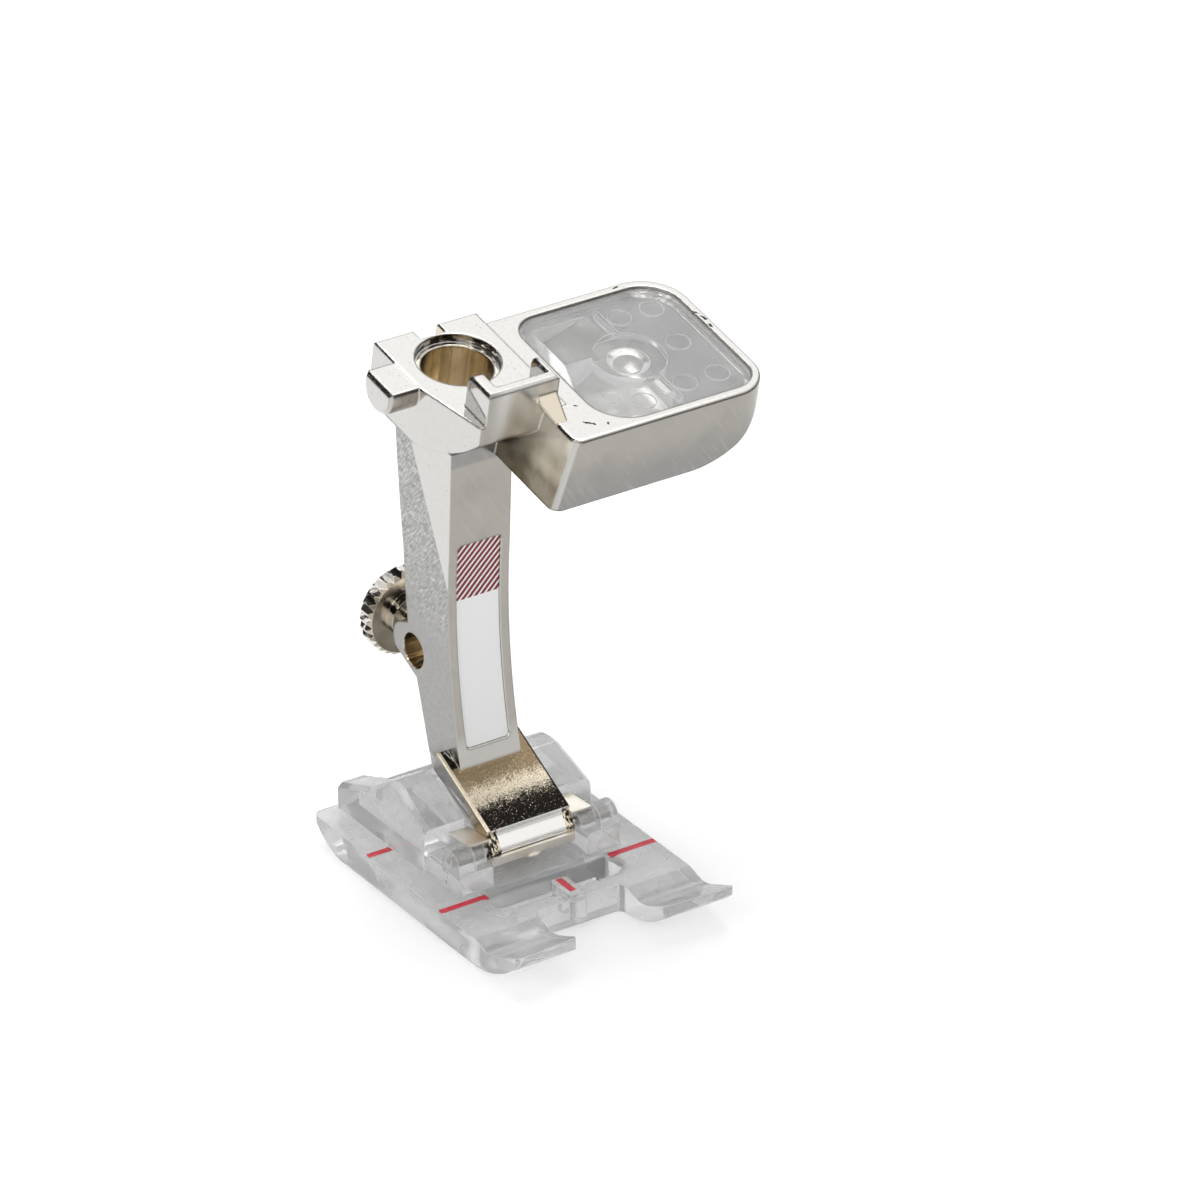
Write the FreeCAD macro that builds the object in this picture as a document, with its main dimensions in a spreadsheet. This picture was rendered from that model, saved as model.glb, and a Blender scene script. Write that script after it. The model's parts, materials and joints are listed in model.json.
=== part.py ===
"""Clear-sole embroidery foot for a sewing machine, built as a parametric document.

Two frames are used, both in millimetres. The row frame has the needle's line at x = 0 and y = 0, the
sole's underside at z = 0, +Y to the rear and +X to the side that carries the sensor tub. The shank frame
has its origin on the hinge pin's axis and its Z along the shank, which leans forward over the sole.
"""
import FreeCAD, Part
import math
import os
import re

import Sketcher
from FreeCAD import Vector

SIZES = {
    # Hinge between the shank and the sole, in the row frame
    "pin_y": 3.0,
    "pin_z": 4.9,
    "pin_radius": 0.4,
    "pin_running_fit": 0.03,
    "pin_end_inset": 0.3,
    "shank_lean": 11.6,
    # Sole plate: y values are distances in front of or behind the needle's line
    "sole_half_width": 10.7,
    "plate_thickness": 2.6,
    "toe_inner_front": 11.1,
    "toe_slant": 9.0,
    "toe_low_start": 4.6,
    "toe_low_end": 11.65,
    "toe_low_rise": 3.0,
    "toe_dip_start": 5.2,
    "toe_dip_y": 7.0,
    "toe_dip": 0.5,
    "toe_dip_radius": 4.0,
    "toe_climb": 24.0,
    "toe_corner": 0.7,
    "toe_inner_corner": 0.7,
    "sole_rear": 20.0,
    "heel_curve_start": 15.0,
    "heel_curve_end": 19.7,
    "heel_curve_rise": 2.25,
    "rear_corner": 0.8,
    "gap_half_width": 4.35,
    "bridge_front": 4.4,
    "slot_half_width": 6.1,
    "slot_front": 2.45,
    "slot_rear": 0.3,
    "slot_front_corner": 1.2,
    "slot_rear_corner": 0.3,
    "slot_lip_radius": 0.7,
    "tongue_half_width": 0.75,
    "tongue_tip": 1.4,
    "tongue_rise": 0.4,
    "tongue_corner": 0.35,
    "boss_radius": 0.8,
    "tunnel_half_width": 5.0,
    "tunnel_depth": 0.7,
    # Red marks, engraved
    "mark_width": 0.45,
    "mark_depth": 0.12,
    "side_mark_inner": 6.1,
    "rear_mark_y": 11.15,
    "rear_mark_inner": 8.46,
    "centre_mark_front": 3.8,
    "centre_mark_rear": 1.5,
    # Hinge lugs on the sole
    "lug_inner": 4.7,
    "lug_split": 6.2,
    "lug_outer": 7.95,
    "lug_base_front": 1.14,
    "lug_base_top": 4.45,
    "lug_radius": 1.3,
    "lug_lead": 0.35,
    "seat_radius": 0.86,
    # Side blocks behind the lugs and the rear rim
    "block_inner": 4.35,
    "block_foot": 8.4,
    "block_crest": 7.8,
    "block_crest_top": 8.6,
    "block_flank_radius": 22.0,
    "block_edge": 0.4,
    "block_front": 6.1,
    "block_front_top": 6.55,
    "block_shoulder_y": 9.7,
    "block_shoulder_z": 8.1,
    "block_crest_radius": 3.0,
    "block_brow_y": 13.0,
    "block_brow_z": 7.9,
    "block_fall_y": 15.2,
    "block_fall_z": 6.5,
    "rim_rear": 19.6,
    "rim_thickness": 0.8,
    "rim_top": 4.9,
    "rim_middle_top": 3.85,
    "rim_dip_outer": 5.85,
    "rim_dip_inner": 3.5,
    "block_dip_front": 15.4,
    # Head of the shank, in the shank frame
    "head_top": 37.48,
    "head_height": 5.63,
    "head_left": 5.05,
    "head_right": 4.85,
    "head_front": 8.95,
    "head_rear": 22.85,
    "head_front_height": 1.68,
    "head_under_radius": 10.4,
    "head_flat_front": 17.1,
    "head_corner_y": 15.8,
    "head_corner_x": 3.44,
    "head_edge": 0.18,
    "rear_notch_left": 1.2,
    "rear_notch_right": 1.1,
    "rear_notch_y": 21.7,
    # Socket for the machine's bar
    "socket_y": 17.86,
    "socket_radius": 3.05,
    "socket_depth": 6.1,
    "socket_mouth_radius": 3.6,
    "socket_mouth_depth": 0.8,
    # U-shaped clamp wall on the head
    "wall_rise": 3.12,
    "wall_left": 2.95,
    "wall_right": 3.86,
    "wall_back": 10.1,
    "wall_leg_rear": 12.4,
    "wall_left_leg": 1.4,
    "wall_right_leg": 0.7,
    "wall_leg_round": 0.8,
    "wall_bevel": 0.25,
    # Side clamp pin
    "clamp_pin_y": 17.8,
    "clamp_pin_drop": 0.78,
    "clamp_pin_radius": 2.05,
    "clamp_pin_end": 7.8,
    "clamp_pin_bevel": 0.3,
    # Column
    "column_half_width": 3.0,
    "column_front_top": 13.2,
    "column_bend_y": 11.75,
    "column_bend_z": 22.1,
    "column_front_radius": 58.0,
    "column_toe_y": 6.45,
    "column_toe_z": 3.43,
    "column_back_top": 20.95,
    "column_back_y": 16.45,
    "column_back_z": 12.1,
    "column_back_radius": 170.0,
    "flare_start": 18.8,
    "flare_half_width": 3.6,
    "flare_facet_y": 19.4,
    # Web and heel below the column
    "web_front": 1.0,
    "web_flat_rear": 4.6,
    "heel_y": 10.6,
    "heel_z": 0.9,
    "heel_back_y": 11.0,
    "heel_back_z": 1.7,
    "throat_y": 13.25,
    "throat_z": 6.0,
    "throat_top_y": 14.2,
    "throat_top_z": 7.8,
    # Cross hole for a guide rod and the screw that clamps it
    "cross_hole_y": 15.1,
    "cross_hole_z": 10.0,
    "cross_hole_radius": 1.6,
    "boss_low_y": 17.6,
    "boss_low_z": 8.68,
    "boss_high_y": 17.75,
    "boss_high_z": 11.24,
    "boss_end_radius": 1.56,
    "screw_droop": 9.3,
    "screw_radius": 1.2,
    "screw_tip_gap": 0.1,
    "screw_tip_bevel": 0.3,
    "screw_running_fit": 0.05,
    "collar_radius": 2.2,
    "collar_start": 4.55,
    "disc_radius": 4.0,
    "disc_start": 5.46,
    "disc_thickness": 1.78,
    "disc_bevel": 0.35,
    "disc_dish_radius": 2.7,
    "disc_dish_depth": 0.35,
    "knurl_count": 30,
    "knurl_depth": 0.35,
    "knurl_width": 0.7,
    # Ramp plate and nose
    "ramp_half_width": 4.1,
    "ramp_rear_y": 8.7,
    "ramp_rear_z": 4.0,
    "ramp_front_y": 0.3,
    "ramp_front_z": 1.65,
    "ramp_low_rear_y": 8.9,
    "ramp_low_rear_z": 2.27,
    "ramp_low_mid_y": 5.8,
    "ramp_low_mid_z": 1.46,
    "ramp_low_front_y": 2.9,
    "ramp_low_front_z": 1.12,
    "nose_radius": 0.78,
    "strip_distance": 0.72,
    "strip_angle": 47.2,
    "strip_top_rise": 0.95,
    # Label recess on the column's front face
    "label_half_width": 2.15,
    "label_low": 4.85,
    "label_high": 22.9,
    "label_recess": 0.3,
    "label_thickness": 0.16,
    "label_corner": 0.4,
    "label_fit": 0.04,
    # Side arm and sensor tub
    "tub_drop": 0.08,
    "tub_left": 2.7,
    "tub_left_low": 1.3,
    "tub_right": 22.5,
    "tub_front": 4.1,
    "tub_rear": 21.45,
    "tub_height": 6.7,
    "tub_low_radius": 8.0,
    "tub_rim_height": 0.5,
    "tub_front_left_corner": 1.0,
    "tub_front_right_corner": 3.5,
    "tub_rear_right_corner": 4.0,
    "tub_rim_edge": 0.25,
    "tub_floor": 1.0,
    # Gusset between the clamp wall and the tub
    "gusset_left": 1.9,
    "gusset_foot_left": 2.75,
    "gusset_right": 3.7,
    "gusset_front": 7.0,
    "gusset_height": 1.75,
    "gusset_side_rise": 1.1,
    "gusset_root": 0.3,
    # Lens in the tub
    "lens_left": 6.6,
    "lens_right": 21.65,
    "lens_front": 5.0,
    "lens_rear": 20.55,
    "lens_corner_front_left": 3.6,
    "lens_corner_front_right": 2.4,
    "lens_corner_rear_right": 3.3,
    "lens_corner_rear_left": 2.5,
    "lens_sink": 0.25,
    "lens_thickness": 1.0,
    "lens_fit": 0.03,
    "lens_ledge": 0.6,
    "lens_boss_x": 14.0,
    "lens_boss_y": 13.3,
    "lens_boss_radius": 3.2,
    "lens_boss_depth": 1.0,
    "lens_dome_radius": 1.8,
    "lens_dome_depth": 1.6,
    "lens_dome_bevel": 0.5,
    "lens_rib_x": 14.7,
    "lens_rib_thickness": 0.3,
    "lens_rib_depth": 0.7,
    "lens_rib_front": 6.7,
    "lens_rib_rear": 19.7,
    "pad_depth": 0.2,
    "pad_radius": 1.05,
    "pad_inner_x": 16.25,
    "pad_middle_x": 18.9,
    "pad_outer_x": 19.5,
    "pad_front_y": 8.3,
    "pad_rear_y": 18.2,
    "pad_left_x": 11.7,
    "pad_left_y": 7.6,
    "pad_small_x": 9.4,
    "pad_small_y": 9.0,
    "pad_small_radius": 0.7,
    "prism_left": 8.4,
    "prism_right": 13.6,
    "prism_front": 14.4,
    "prism_rear": 19.5,
    "prism_tip": 9.6,
    "prism_depth": 2.8,
    "wedge_left": 13.1,
    "wedge_front": 7.6,
    "wedge_rear": 10.6,
    "wedge_depth": 2.2,
    # Leaf clip and its rivet
    "sheet": 0.25,
    "clip_side_fit": 0.02,
    "clip_rear": 4.3,
    "clip_half_width": 2.6,
    "lip_half_width": 4.05,
    "lip_fit": 0.05,
    "lip_top": 0.15,
    "ear_rear": 1.3,
    "wing_reach": 6.05,
    "wing_front_y": 0.15,
    "wing_front_z": 1.3,
    "wing_rear_y": 2.9,
    "wing_rear_z": 0.46,
    "rivet_y": 2.9,
    "rivet_radius": 0.6,
    "rivet_depth": 1.6,
    "rivet_head_radius": 1.05,
    "rivet_head_height": 0.35,
    "dimple_radius": 1.25,
    "dimple_depth": 0.55,
    "dimple_bevel": 0.4,
}

LEFT = "left"
RIGHT = "right"
TOUCH = 0.01
TOE_FRONT = "(toe_inner_front + (sole_half_width - gap_half_width) * tan(toe_slant))"
HEAD_UNDER = "(head_top - head_height)"
HEAD_FRONT_LOW = "(head_top - head_front_height)"
WALL_TOP = "(head_top + wall_rise)"
CLAMP_PIN_Z = "(head_top - clamp_pin_drop)"
TUB_TOP = "(head_top - tub_drop)"
TUB_BOTTOM = "(head_top - tub_drop - tub_height)"
TUB_BEND_X = "(tub_right - sqrt(tub_low_radius ^ 2 - (tub_low_radius + tub_rim_height - tub_height) ^ 2))"
SEAT_LOW = "(head_top - tub_drop - lens_sink - lens_thickness)"
LENS_PADS = [
    ("pad_inner_x", "pad_rear_y", "pad_radius"),
    ("pad_outer_x", "pad_rear_y", "pad_radius"),
    ("pad_middle_x", "lens_boss_y", "pad_radius"),
    ("pad_inner_x", "pad_front_y", "pad_radius"),
    ("pad_outer_x", "pad_front_y", "pad_radius"),
    ("pad_left_x", "pad_left_y", "pad_radius"),
    ("pad_small_x", "pad_small_y", "pad_small_radius"),
]

doc = FreeCAD.newDocument("PresserFoot")


def make_sheet():
    """Keep every driving size in one sheet, each under its own name."""
    table = doc.addObject("Spreadsheet::Sheet", "Sizes")
    for row, (name, size) in enumerate(SIZES.items(), start=1):
        table.set(f"A{row}", name)
        table.set(f"B{row}", str(size))
        table.setAlias(f"B{row}", name)
    doc.recompute()
    return table


sheet = make_sheet()


def formula(text):
    """Write a formula of size names the way other objects read the sheet."""
    return re.sub(r"[a-z_]+", lambda word: "Sizes." + word[0] if word[0] in SIZES else word[0], text)


def value(text):
    """Work out a formula of size names."""
    return float(sheet.evalExpression(text))


def body_named(name):
    """Start a body for one piece."""
    return doc.addObject("PartDesign::Body", name)


def plane_of(body, role):
    """Find one of the body's own origin planes."""
    return next(item for item in body.Origin.OriginFeatures if item.Role == role)


def arc_between(start, end, radius, turn):
    """Make the short arc from start to end that turns to the given side."""
    chord = end - start
    rise = math.sqrt(radius ** 2 - chord.Length ** 2 / 4)
    inward = Vector(-chord.y, chord.x, 0).normalize()
    if turn == RIGHT:
        inward = -inward
        start, end = end, start
    centre = (start + end) / 2 + inward * rise
    circle = Part.Circle(centre, Vector(0, 0, 1), radius)
    return Part.ArcOfCircle(circle, circle.parameter(start), circle.parameter(end))


def bind_point(sketch, item, spot, across, up):
    """Hold one point of a sketch at two formulas."""
    for kind, text in (("DistanceX", across), ("DistanceY", up)):
        index = sketch.addConstraint(Sketcher.Constraint(kind, -1, 1, item, spot, value(text)))
        sketch.setExpression(f"Constraints[{index}]", formula(text))


def bind_radius(sketch, item, text):
    """Hold the radius of a circle or an arc at a formula."""
    index = sketch.addConstraint(Sketcher.Constraint("Radius", item, value(text)))
    sketch.setExpression(f"Constraints[{index}]", formula(text))


def draw_outline(sketch, outline):
    """Draw a closed outline of corners (across, up) and arcs (across, up, turn, radius)."""
    corners = [Vector(value(corner[0]), value(corner[1]), 0) for corner in outline]
    base = sketch.GeometryCount
    starts = []
    ends = []
    for index, (across, up, *bend) in enumerate(outline):
        start, end = corners[index - 1], corners[index]
        if bend:
            sketch.addGeometry(arc_between(start, end, value(bend[1]), bend[0]))
            bind_radius(sketch, base + index, bend[1])
        else:
            sketch.addGeometry(Part.LineSegment(start, end))
        reversed_arc = bool(bend) and bend[0] == RIGHT
        starts.append(2 if reversed_arc else 1)
        ends.append(1 if reversed_arc else 2)
        bind_point(sketch, base + index, ends[-1], across, up)
    for index in range(len(outline)):
        following = (index + 1) % len(outline)
        join = (base + index, ends[index], base + following, starts[following])
        sketch.addConstraint(Sketcher.Constraint("Coincident", *join))


def draw_circle(sketch, across, up, radius):
    """Draw a circle."""
    centre = Vector(value(across), value(up), 0)
    item = sketch.addGeometry(Part.Circle(centre, Vector(0, 0, 1), value(radius)))
    bind_radius(sketch, item, radius)
    bind_point(sketch, item, 3, across, up)


def sketch_on(body, name, role, start="0"):
    """Attach a sketch to an origin plane, moved along the plane's positive axis to start."""
    sketch = body.newObject("Sketcher::SketchObject", name)
    sketch.AttachmentSupport = (plane_of(body, role), [""])
    sketch.MapMode = "FlatFace"
    towards = f"-({start})" if role == "XZ_Plane" else start
    sketch.setExpression("AttachmentOffset.Base.z", formula(towards))
    return sketch


def fill_sketch(sketch, *shapes):
    """Draw outlines (lists) and circles (tuples) in a sketch and solve it."""
    for shape in shapes:
        if isinstance(shape, tuple):
            draw_circle(sketch, *shape)
        else:
            draw_outline(sketch, shape)
    if sketch.solve() != 0:
        raise ValueError(f"{sketch.Name} cannot be solved")


def add(body, name, role, start, end, *shapes):
    """Pad shapes drawn on a plane from start to end along its positive axis."""
    sketch = sketch_on(body, name + "Sketch", role, start)
    fill_sketch(sketch, *shapes)
    pad = body.newObject("PartDesign::Pad", name)
    pad.Profile = sketch
    pad.Reversed = role == "XZ_Plane"
    pad.setExpression("Length", formula(f"{end} - ({start})"))
    doc.recompute()
    return pad


def cut(body, name, role, start, end, *shapes):
    """Pocket shapes drawn on a plane from start to end along its positive axis."""
    before = body.Shape.Volume
    sketch = sketch_on(body, name + "Sketch", role, start)
    fill_sketch(sketch, *shapes)
    pocket = body.newObject("PartDesign::Pocket", name)
    pocket.Profile = sketch
    pocket.Reversed = role != "XZ_Plane"
    pocket.setExpression("Length", formula(f"{end} - ({start})"))
    doc.recompute()
    if not body.Shape.Volume < before:
        raise ValueError(f"{name} removes nothing")
    return pocket


def mirror(body, name, features):
    """Repeat features on the other side of the middle plane."""
    mirrored = body.newObject("PartDesign::Mirrored", name)
    mirrored.Originals = features
    mirrored.MirrorPlane = (plane_of(body, "YZ_Plane"), [""])
    body.Tip = mirrored
    doc.recompute()
    return mirrored


def edges_in(shape, low, high):
    """Name the edges that lie wholly in a box given by two corners of formulas."""
    box = FreeCAD.BoundBox(*(value(text) for text in low), *(value(text) for text in high))
    box.enlarge(TOUCH)
    edges = enumerate(shape.Edges, start=1)
    return [f"Edge{number}" for number, edge in edges if box.isInside(edge.BoundBox)]


def soften(body, kind, name, size, *boxes):
    """Fillet or chamfer every edge of the body that lies in one of the boxes."""
    base = body.Tip
    names = []
    for low, high in boxes:
        names.extend(edges_in(base.Shape, low, high))
    feature = body.newObject(f"PartDesign::{kind}", name)
    feature.Base = (base, names)
    feature.setExpression("Radius" if kind == "Fillet" else "Size", formula(size))
    doc.recompute()
    return feature


def rounded_box(left, front, right, rear, corners):
    """Outline a rectangle with four corner radii, from the front left counter-clockwise."""
    front_left, front_right, rear_right, rear_left = corners
    return [
        (f"{left} + {front_left}", front, LEFT, front_left),
        (f"{right} - {front_right}", front),
        (right, f"{front} + {front_right}", LEFT, front_right),
        (right, f"{rear} - {rear_right}"),
        (f"{right} - {rear_right}", rear, LEFT, rear_right),
        (f"{left} + {rear_left}", rear),
        (left, f"{rear} - {rear_left}", LEFT, rear_left),
        (left, f"{front} + {front_left}"),
    ]


def rectangle(left, low, right, high):
    """Outline a plain rectangle."""
    return [(left, low), (right, low), (right, high), (left, high)]


def lean_with_shank(item, across="0", up="0", turn="0"):
    """Place a piece into the row frame, drawn in the shank frame or at a point and angle of that frame."""
    y = f"pin_y + ({across}) * cos(shank_lean) - ({up}) * sin(shank_lean)"
    z = f"pin_z + ({across}) * sin(shank_lean) + ({up}) * cos(shank_lean)"
    angle = f"shank_lean + {turn}"
    item.Placement = FreeCAD.Placement(
        Vector(0, value(y), value(z)),
        FreeCAD.Rotation(Vector(1, 0, 0), value(angle)),
    )
    item.setExpression("Placement.Base.y", formula(y))
    item.setExpression("Placement.Base.z", formula(z))
    item.setExpression("Placement.Rotation.Angle", formula(angle))


def front_centre():
    """Find the centre of the hollow arc of the column's front face."""
    chord_y = "(column_toe_y - column_bend_y)"
    chord_z = "(column_toe_z - column_bend_z)"
    length = f"sqrt({chord_y} ^ 2 + {chord_z} ^ 2)"
    rise = f"sqrt(column_front_radius ^ 2 - {length} ^ 2 / 4)"
    centre_y = f"((column_toe_y + column_bend_y) / 2 + {chord_z} / {length} * {rise})"
    centre_z = f"((column_toe_z + column_bend_z) / 2 - {chord_y} / {length} * {rise})"
    return centre_y, centre_z


def column_body():
    """Column with its hollow front, boss, web and heel, and the flared upper sides."""
    body = body_named("ColumnBody")
    profile = [
        ("column_front_top", HEAD_UNDER),
        ("column_bend_y", "column_bend_z"),
        ("column_toe_y", "column_toe_z", RIGHT, "column_front_radius"),
        ("web_front", "0"),
        ("web_front", "-nose_radius"),
        ("web_flat_rear", "-nose_radius"),
        ("heel_y", "heel_z"),
        ("heel_back_y", "heel_back_z"),
        ("throat_y", "throat_z"),
        ("throat_top_y", "throat_top_z"),
        ("boss_low_y", "boss_low_z"),
        ("boss_high_y", "boss_high_z", LEFT, "boss_end_radius"),
        ("column_back_y", "column_back_z"),
        ("column_back_top", HEAD_UNDER, LEFT, "column_back_radius"),
    ]
    add(body, "Column", "YZ_Plane", "-flare_half_width", "flare_half_width", profile)
    side = [
        ("column_half_width", "-nose_radius"),
        ("flare_half_width", "-nose_radius"),
        ("flare_half_width", HEAD_UNDER),
        ("column_half_width", "flare_start"),
    ]
    taper = cut(body, "ColumnSide", "XZ_Plane", "0", "column_back_top", side)
    facet = facet_cut(body)
    mirror(body, "ColumnOtherSide", [taper, facet])
    return body


def facet_cut(body):
    """Slice the flared upper side back to the front edge, along that edge."""
    sketch = sketch_on(body, "FlareFacetSketch", "XY_Plane", HEAD_UNDER)
    outline = [
        ("column_half_width", "column_front_top"),
        ("flare_half_width", "column_front_top"),
        ("flare_half_width", "flare_facet_y"),
    ]
    fill_sketch(sketch, outline)
    pocket = body.newObject("PartDesign::Pocket", "FlareFacet")
    pocket.Profile = sketch
    pocket.UseCustomVector = True
    pocket.Direction = Vector(
        0,
        value("column_bend_y - column_front_top"),
        value(f"column_bend_z - {HEAD_UNDER}"),
    )
    pocket.setExpression("Direction.y", formula("column_bend_y - column_front_top"))
    pocket.setExpression("Direction.z", formula(f"column_bend_z - {HEAD_UNDER}"))
    pocket.setExpression("Length", formula(f"{HEAD_UNDER} - flare_start"))
    doc.recompute()
    return pocket


def nose_body():
    """Ramp plate that runs down to the rounded nose, with the bevelled strip over the lip."""
    body = body_named("NoseBody")
    half_chord = "sqrt(nose_radius ^ 2 - strip_distance ^ 2)"
    foot_y = "(-strip_distance * cos(strip_angle))"
    foot_z = "(strip_distance * sin(strip_angle))"
    profile = [
        ("ramp_rear_y", "ramp_rear_z"),
        ("ramp_front_y", "ramp_front_z"),
        (f"{foot_y} + strip_top_rise * sin(strip_angle)", f"{foot_z} + strip_top_rise * cos(strip_angle)"),
        (f"{foot_y} - {half_chord} * sin(strip_angle)", f"{foot_z} - {half_chord} * cos(strip_angle)"),
        ("0", "-nose_radius", LEFT, "nose_radius"),
        ("nose_radius", "0", LEFT, "nose_radius"),
        ("ramp_low_front_y", "ramp_low_front_z"),
        ("ramp_low_mid_y", "ramp_low_mid_z"),
        ("ramp_low_rear_y", "ramp_low_rear_z"),
    ]
    add(body, "Ramp", "YZ_Plane", "-ramp_half_width", "ramp_half_width", profile)
    return body


def head_body():
    """Head block with the U-shaped clamp wall and the side clamp pin."""
    body = body_named("HeadBody")
    profile = [
        ("head_rear", "head_top"),
        ("head_front", "head_top"),
        ("head_front", HEAD_FRONT_LOW),
        ("head_flat_front", HEAD_UNDER, LEFT, "head_under_radius"),
        ("head_rear", HEAD_UNDER),
    ]
    add(body, "Head", "YZ_Plane", "-head_left", "head_right", profile)
    corner = [
        ("-head_left", "head_corner_y"),
        ("-head_left", "head_front"),
        ("-head_corner_x", "head_front"),
    ]
    cut(body, "HeadCorner", "XY_Plane", HEAD_UNDER, "head_top", corner)
    notch = rectangle("-rear_notch_left", "rear_notch_y", "rear_notch_right", "head_rear")
    cut(body, "RearNotch", "XY_Plane", HEAD_UNDER, "head_top", notch)
    left_edge = (("-head_left", "head_corner_y", "head_top"), ("-head_left", "head_rear", "head_top"))
    rear_edges = (("-head_left", "rear_notch_y", "head_top"), ("head_right", "head_rear", "head_top"))
    soften(body, "Fillet", "HeadEdges", "head_edge", left_edge, rear_edges)
    clamp_wall(body)
    clamp_pin(body)
    return body


def clamp_wall(body):
    """Stand the U-shaped wall on the head, with bevelled top edges and rounded leg ends."""
    outline = [
        ("-wall_left", "wall_leg_rear"),
        ("-wall_left", "head_front"),
        ("wall_right", "head_front"),
        ("wall_right", "wall_leg_rear"),
        ("wall_right - wall_right_leg", "wall_leg_rear"),
        ("wall_right - wall_right_leg", "wall_back"),
        ("-wall_left + wall_left_leg", "wall_back"),
        ("-wall_left + wall_left_leg", "wall_leg_rear"),
    ]
    add(body, "ClampWall", "XY_Plane", "head_top", WALL_TOP, outline)
    leg_ends = (("-wall_left", "wall_leg_rear", WALL_TOP), ("wall_right", "wall_leg_rear", WALL_TOP))
    soften(body, "Fillet", "WallLegs", "wall_leg_round", leg_ends)
    top_edges = (("-wall_left", "head_front", WALL_TOP), ("wall_right", "wall_leg_rear", WALL_TOP))
    soften(body, "Chamfer", "WallBevel", "wall_bevel", top_edges)


def clamp_pin(body):
    """Add the side clamp pin with its flat top and bevelled end."""
    pin = ("clamp_pin_y", CLAMP_PIN_Z, "clamp_pin_radius")
    add(body, "ClampPin", "YZ_Plane", "-clamp_pin_end", "-head_left", pin)
    front = "clamp_pin_y - clamp_pin_radius"
    rear = "clamp_pin_y + clamp_pin_radius"
    flat = rectangle(front, "head_top", rear, f"{CLAMP_PIN_Z} + clamp_pin_radius")
    cut(body, "ClampPinFlat", "YZ_Plane", "-clamp_pin_end", "-head_left", flat)
    end = (
        ("-clamp_pin_end", front, f"{CLAMP_PIN_Z} - clamp_pin_radius"),
        ("-clamp_pin_end", rear, "head_top"),
    )
    soften(body, "Chamfer", "ClampPinBevel", "clamp_pin_bevel", end)


def tub_body():
    """Side arm that ends in an open tub with a ledge for the lens."""
    body = body_named("TubBody")
    profile = [
        ("tub_left", TUB_TOP),
        ("tub_left_low", TUB_BOTTOM),
        (TUB_BEND_X, TUB_BOTTOM),
        ("tub_right", f"{TUB_TOP} - tub_rim_height", LEFT, "tub_low_radius"),
        ("tub_right", TUB_TOP),
    ]
    add(body, "Tub", "XZ_Plane", "tub_front", "tub_rear", profile)
    plan = [
        ("tub_left_low", "tub_front"),
        ("tub_right - tub_front_right_corner", "tub_front"),
        ("tub_right", "tub_front + tub_front_right_corner", LEFT, "tub_front_right_corner"),
        ("tub_right", "tub_rear - tub_rear_right_corner"),
        ("tub_right - tub_rear_right_corner", "tub_rear", LEFT, "tub_rear_right_corner"),
        ("tub_left_low", "tub_rear"),
    ]
    around = rectangle("-tub_right", "-tub_rear", "2 * tub_right", "2 * tub_rear")
    cut(body, "TubCorners", "XY_Plane", TUB_BOTTOM, TUB_TOP, plan, around)
    front_left = (("tub_left_low", "tub_front", TUB_BOTTOM), ("tub_left", "tub_front", TUB_TOP))
    soften(body, "Fillet", "TubFrontLeft", "tub_front_left_corner", front_left)
    rim = (("tub_left", "tub_front", TUB_TOP), ("tub_right", "tub_front", TUB_TOP))
    soften(body, "Fillet", "TubRim", "tub_rim_edge", rim)
    return body


def gusset_body():
    """Sloped gusset that stands on the tub's edge against the clamp wall."""
    body = body_named("GussetBody")
    low = f"{TUB_TOP} - gusset_root"
    rear = "head_front + gusset_root"
    slope = [
        (rear, low),
        ("gusset_front", low),
        ("gusset_front", TUB_TOP),
        ("head_front", f"{TUB_TOP} + gusset_height"),
        (rear, f"{TUB_TOP} + gusset_height"),
    ]
    add(body, "Gusset", "YZ_Plane", "gusset_left", "gusset_right", slope)
    side = [
        ("gusset_left", low),
        ("gusset_foot_left", low),
        ("gusset_left", f"{TUB_TOP} + gusset_side_rise"),
    ]
    cut(body, "GussetSide", "XZ_Plane", "gusset_front", rear, side)
    return body


def tub_hollow_body():
    """Space inside the tub, with the seat for the lens over it."""
    body = body_named("TubHollowBody")
    floor = f"({TUB_BOTTOM} + tub_floor)"
    bend_z = f"({TUB_BOTTOM} + tub_low_radius)"
    inner = "(tub_low_radius - tub_floor)"
    profile = [
        ("lens_left + lens_ledge", SEAT_LOW),
        ("lens_left + lens_ledge", floor),
        (TUB_BEND_X, floor),
        (f"{TUB_BEND_X} + sqrt({inner} ^ 2 - ({bend_z} - {SEAT_LOW}) ^ 2)", SEAT_LOW, LEFT, inner),
    ]
    add(body, "TubHollow", "XZ_Plane", "lens_front + lens_ledge", "lens_rear - lens_ledge", profile)
    around = rectangle("0", "0", "2 * lens_right", "2 * lens_rear")
    cut(body, "TubHollowCorners", "XY_Plane", floor, SEAT_LOW, lens_outline("lens_ledge"), around)
    add(body, "LensSeat", "XY_Plane", SEAT_LOW, TUB_TOP, lens_outline("-lens_fit"))
    return body


def lens_outline(inset):
    """Outline the lens in plan, moved inwards by an inset."""
    corners = [
        f"(lens_corner_{place} - ({inset}))"
        for place in ("front_left", "front_right", "rear_right", "rear_left")
    ]
    return rounded_box(
        f"(lens_left + ({inset}))",
        f"(lens_front + ({inset}))",
        f"(lens_right - ({inset}))",
        f"(lens_rear - ({inset}))",
        corners,
    )


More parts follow.
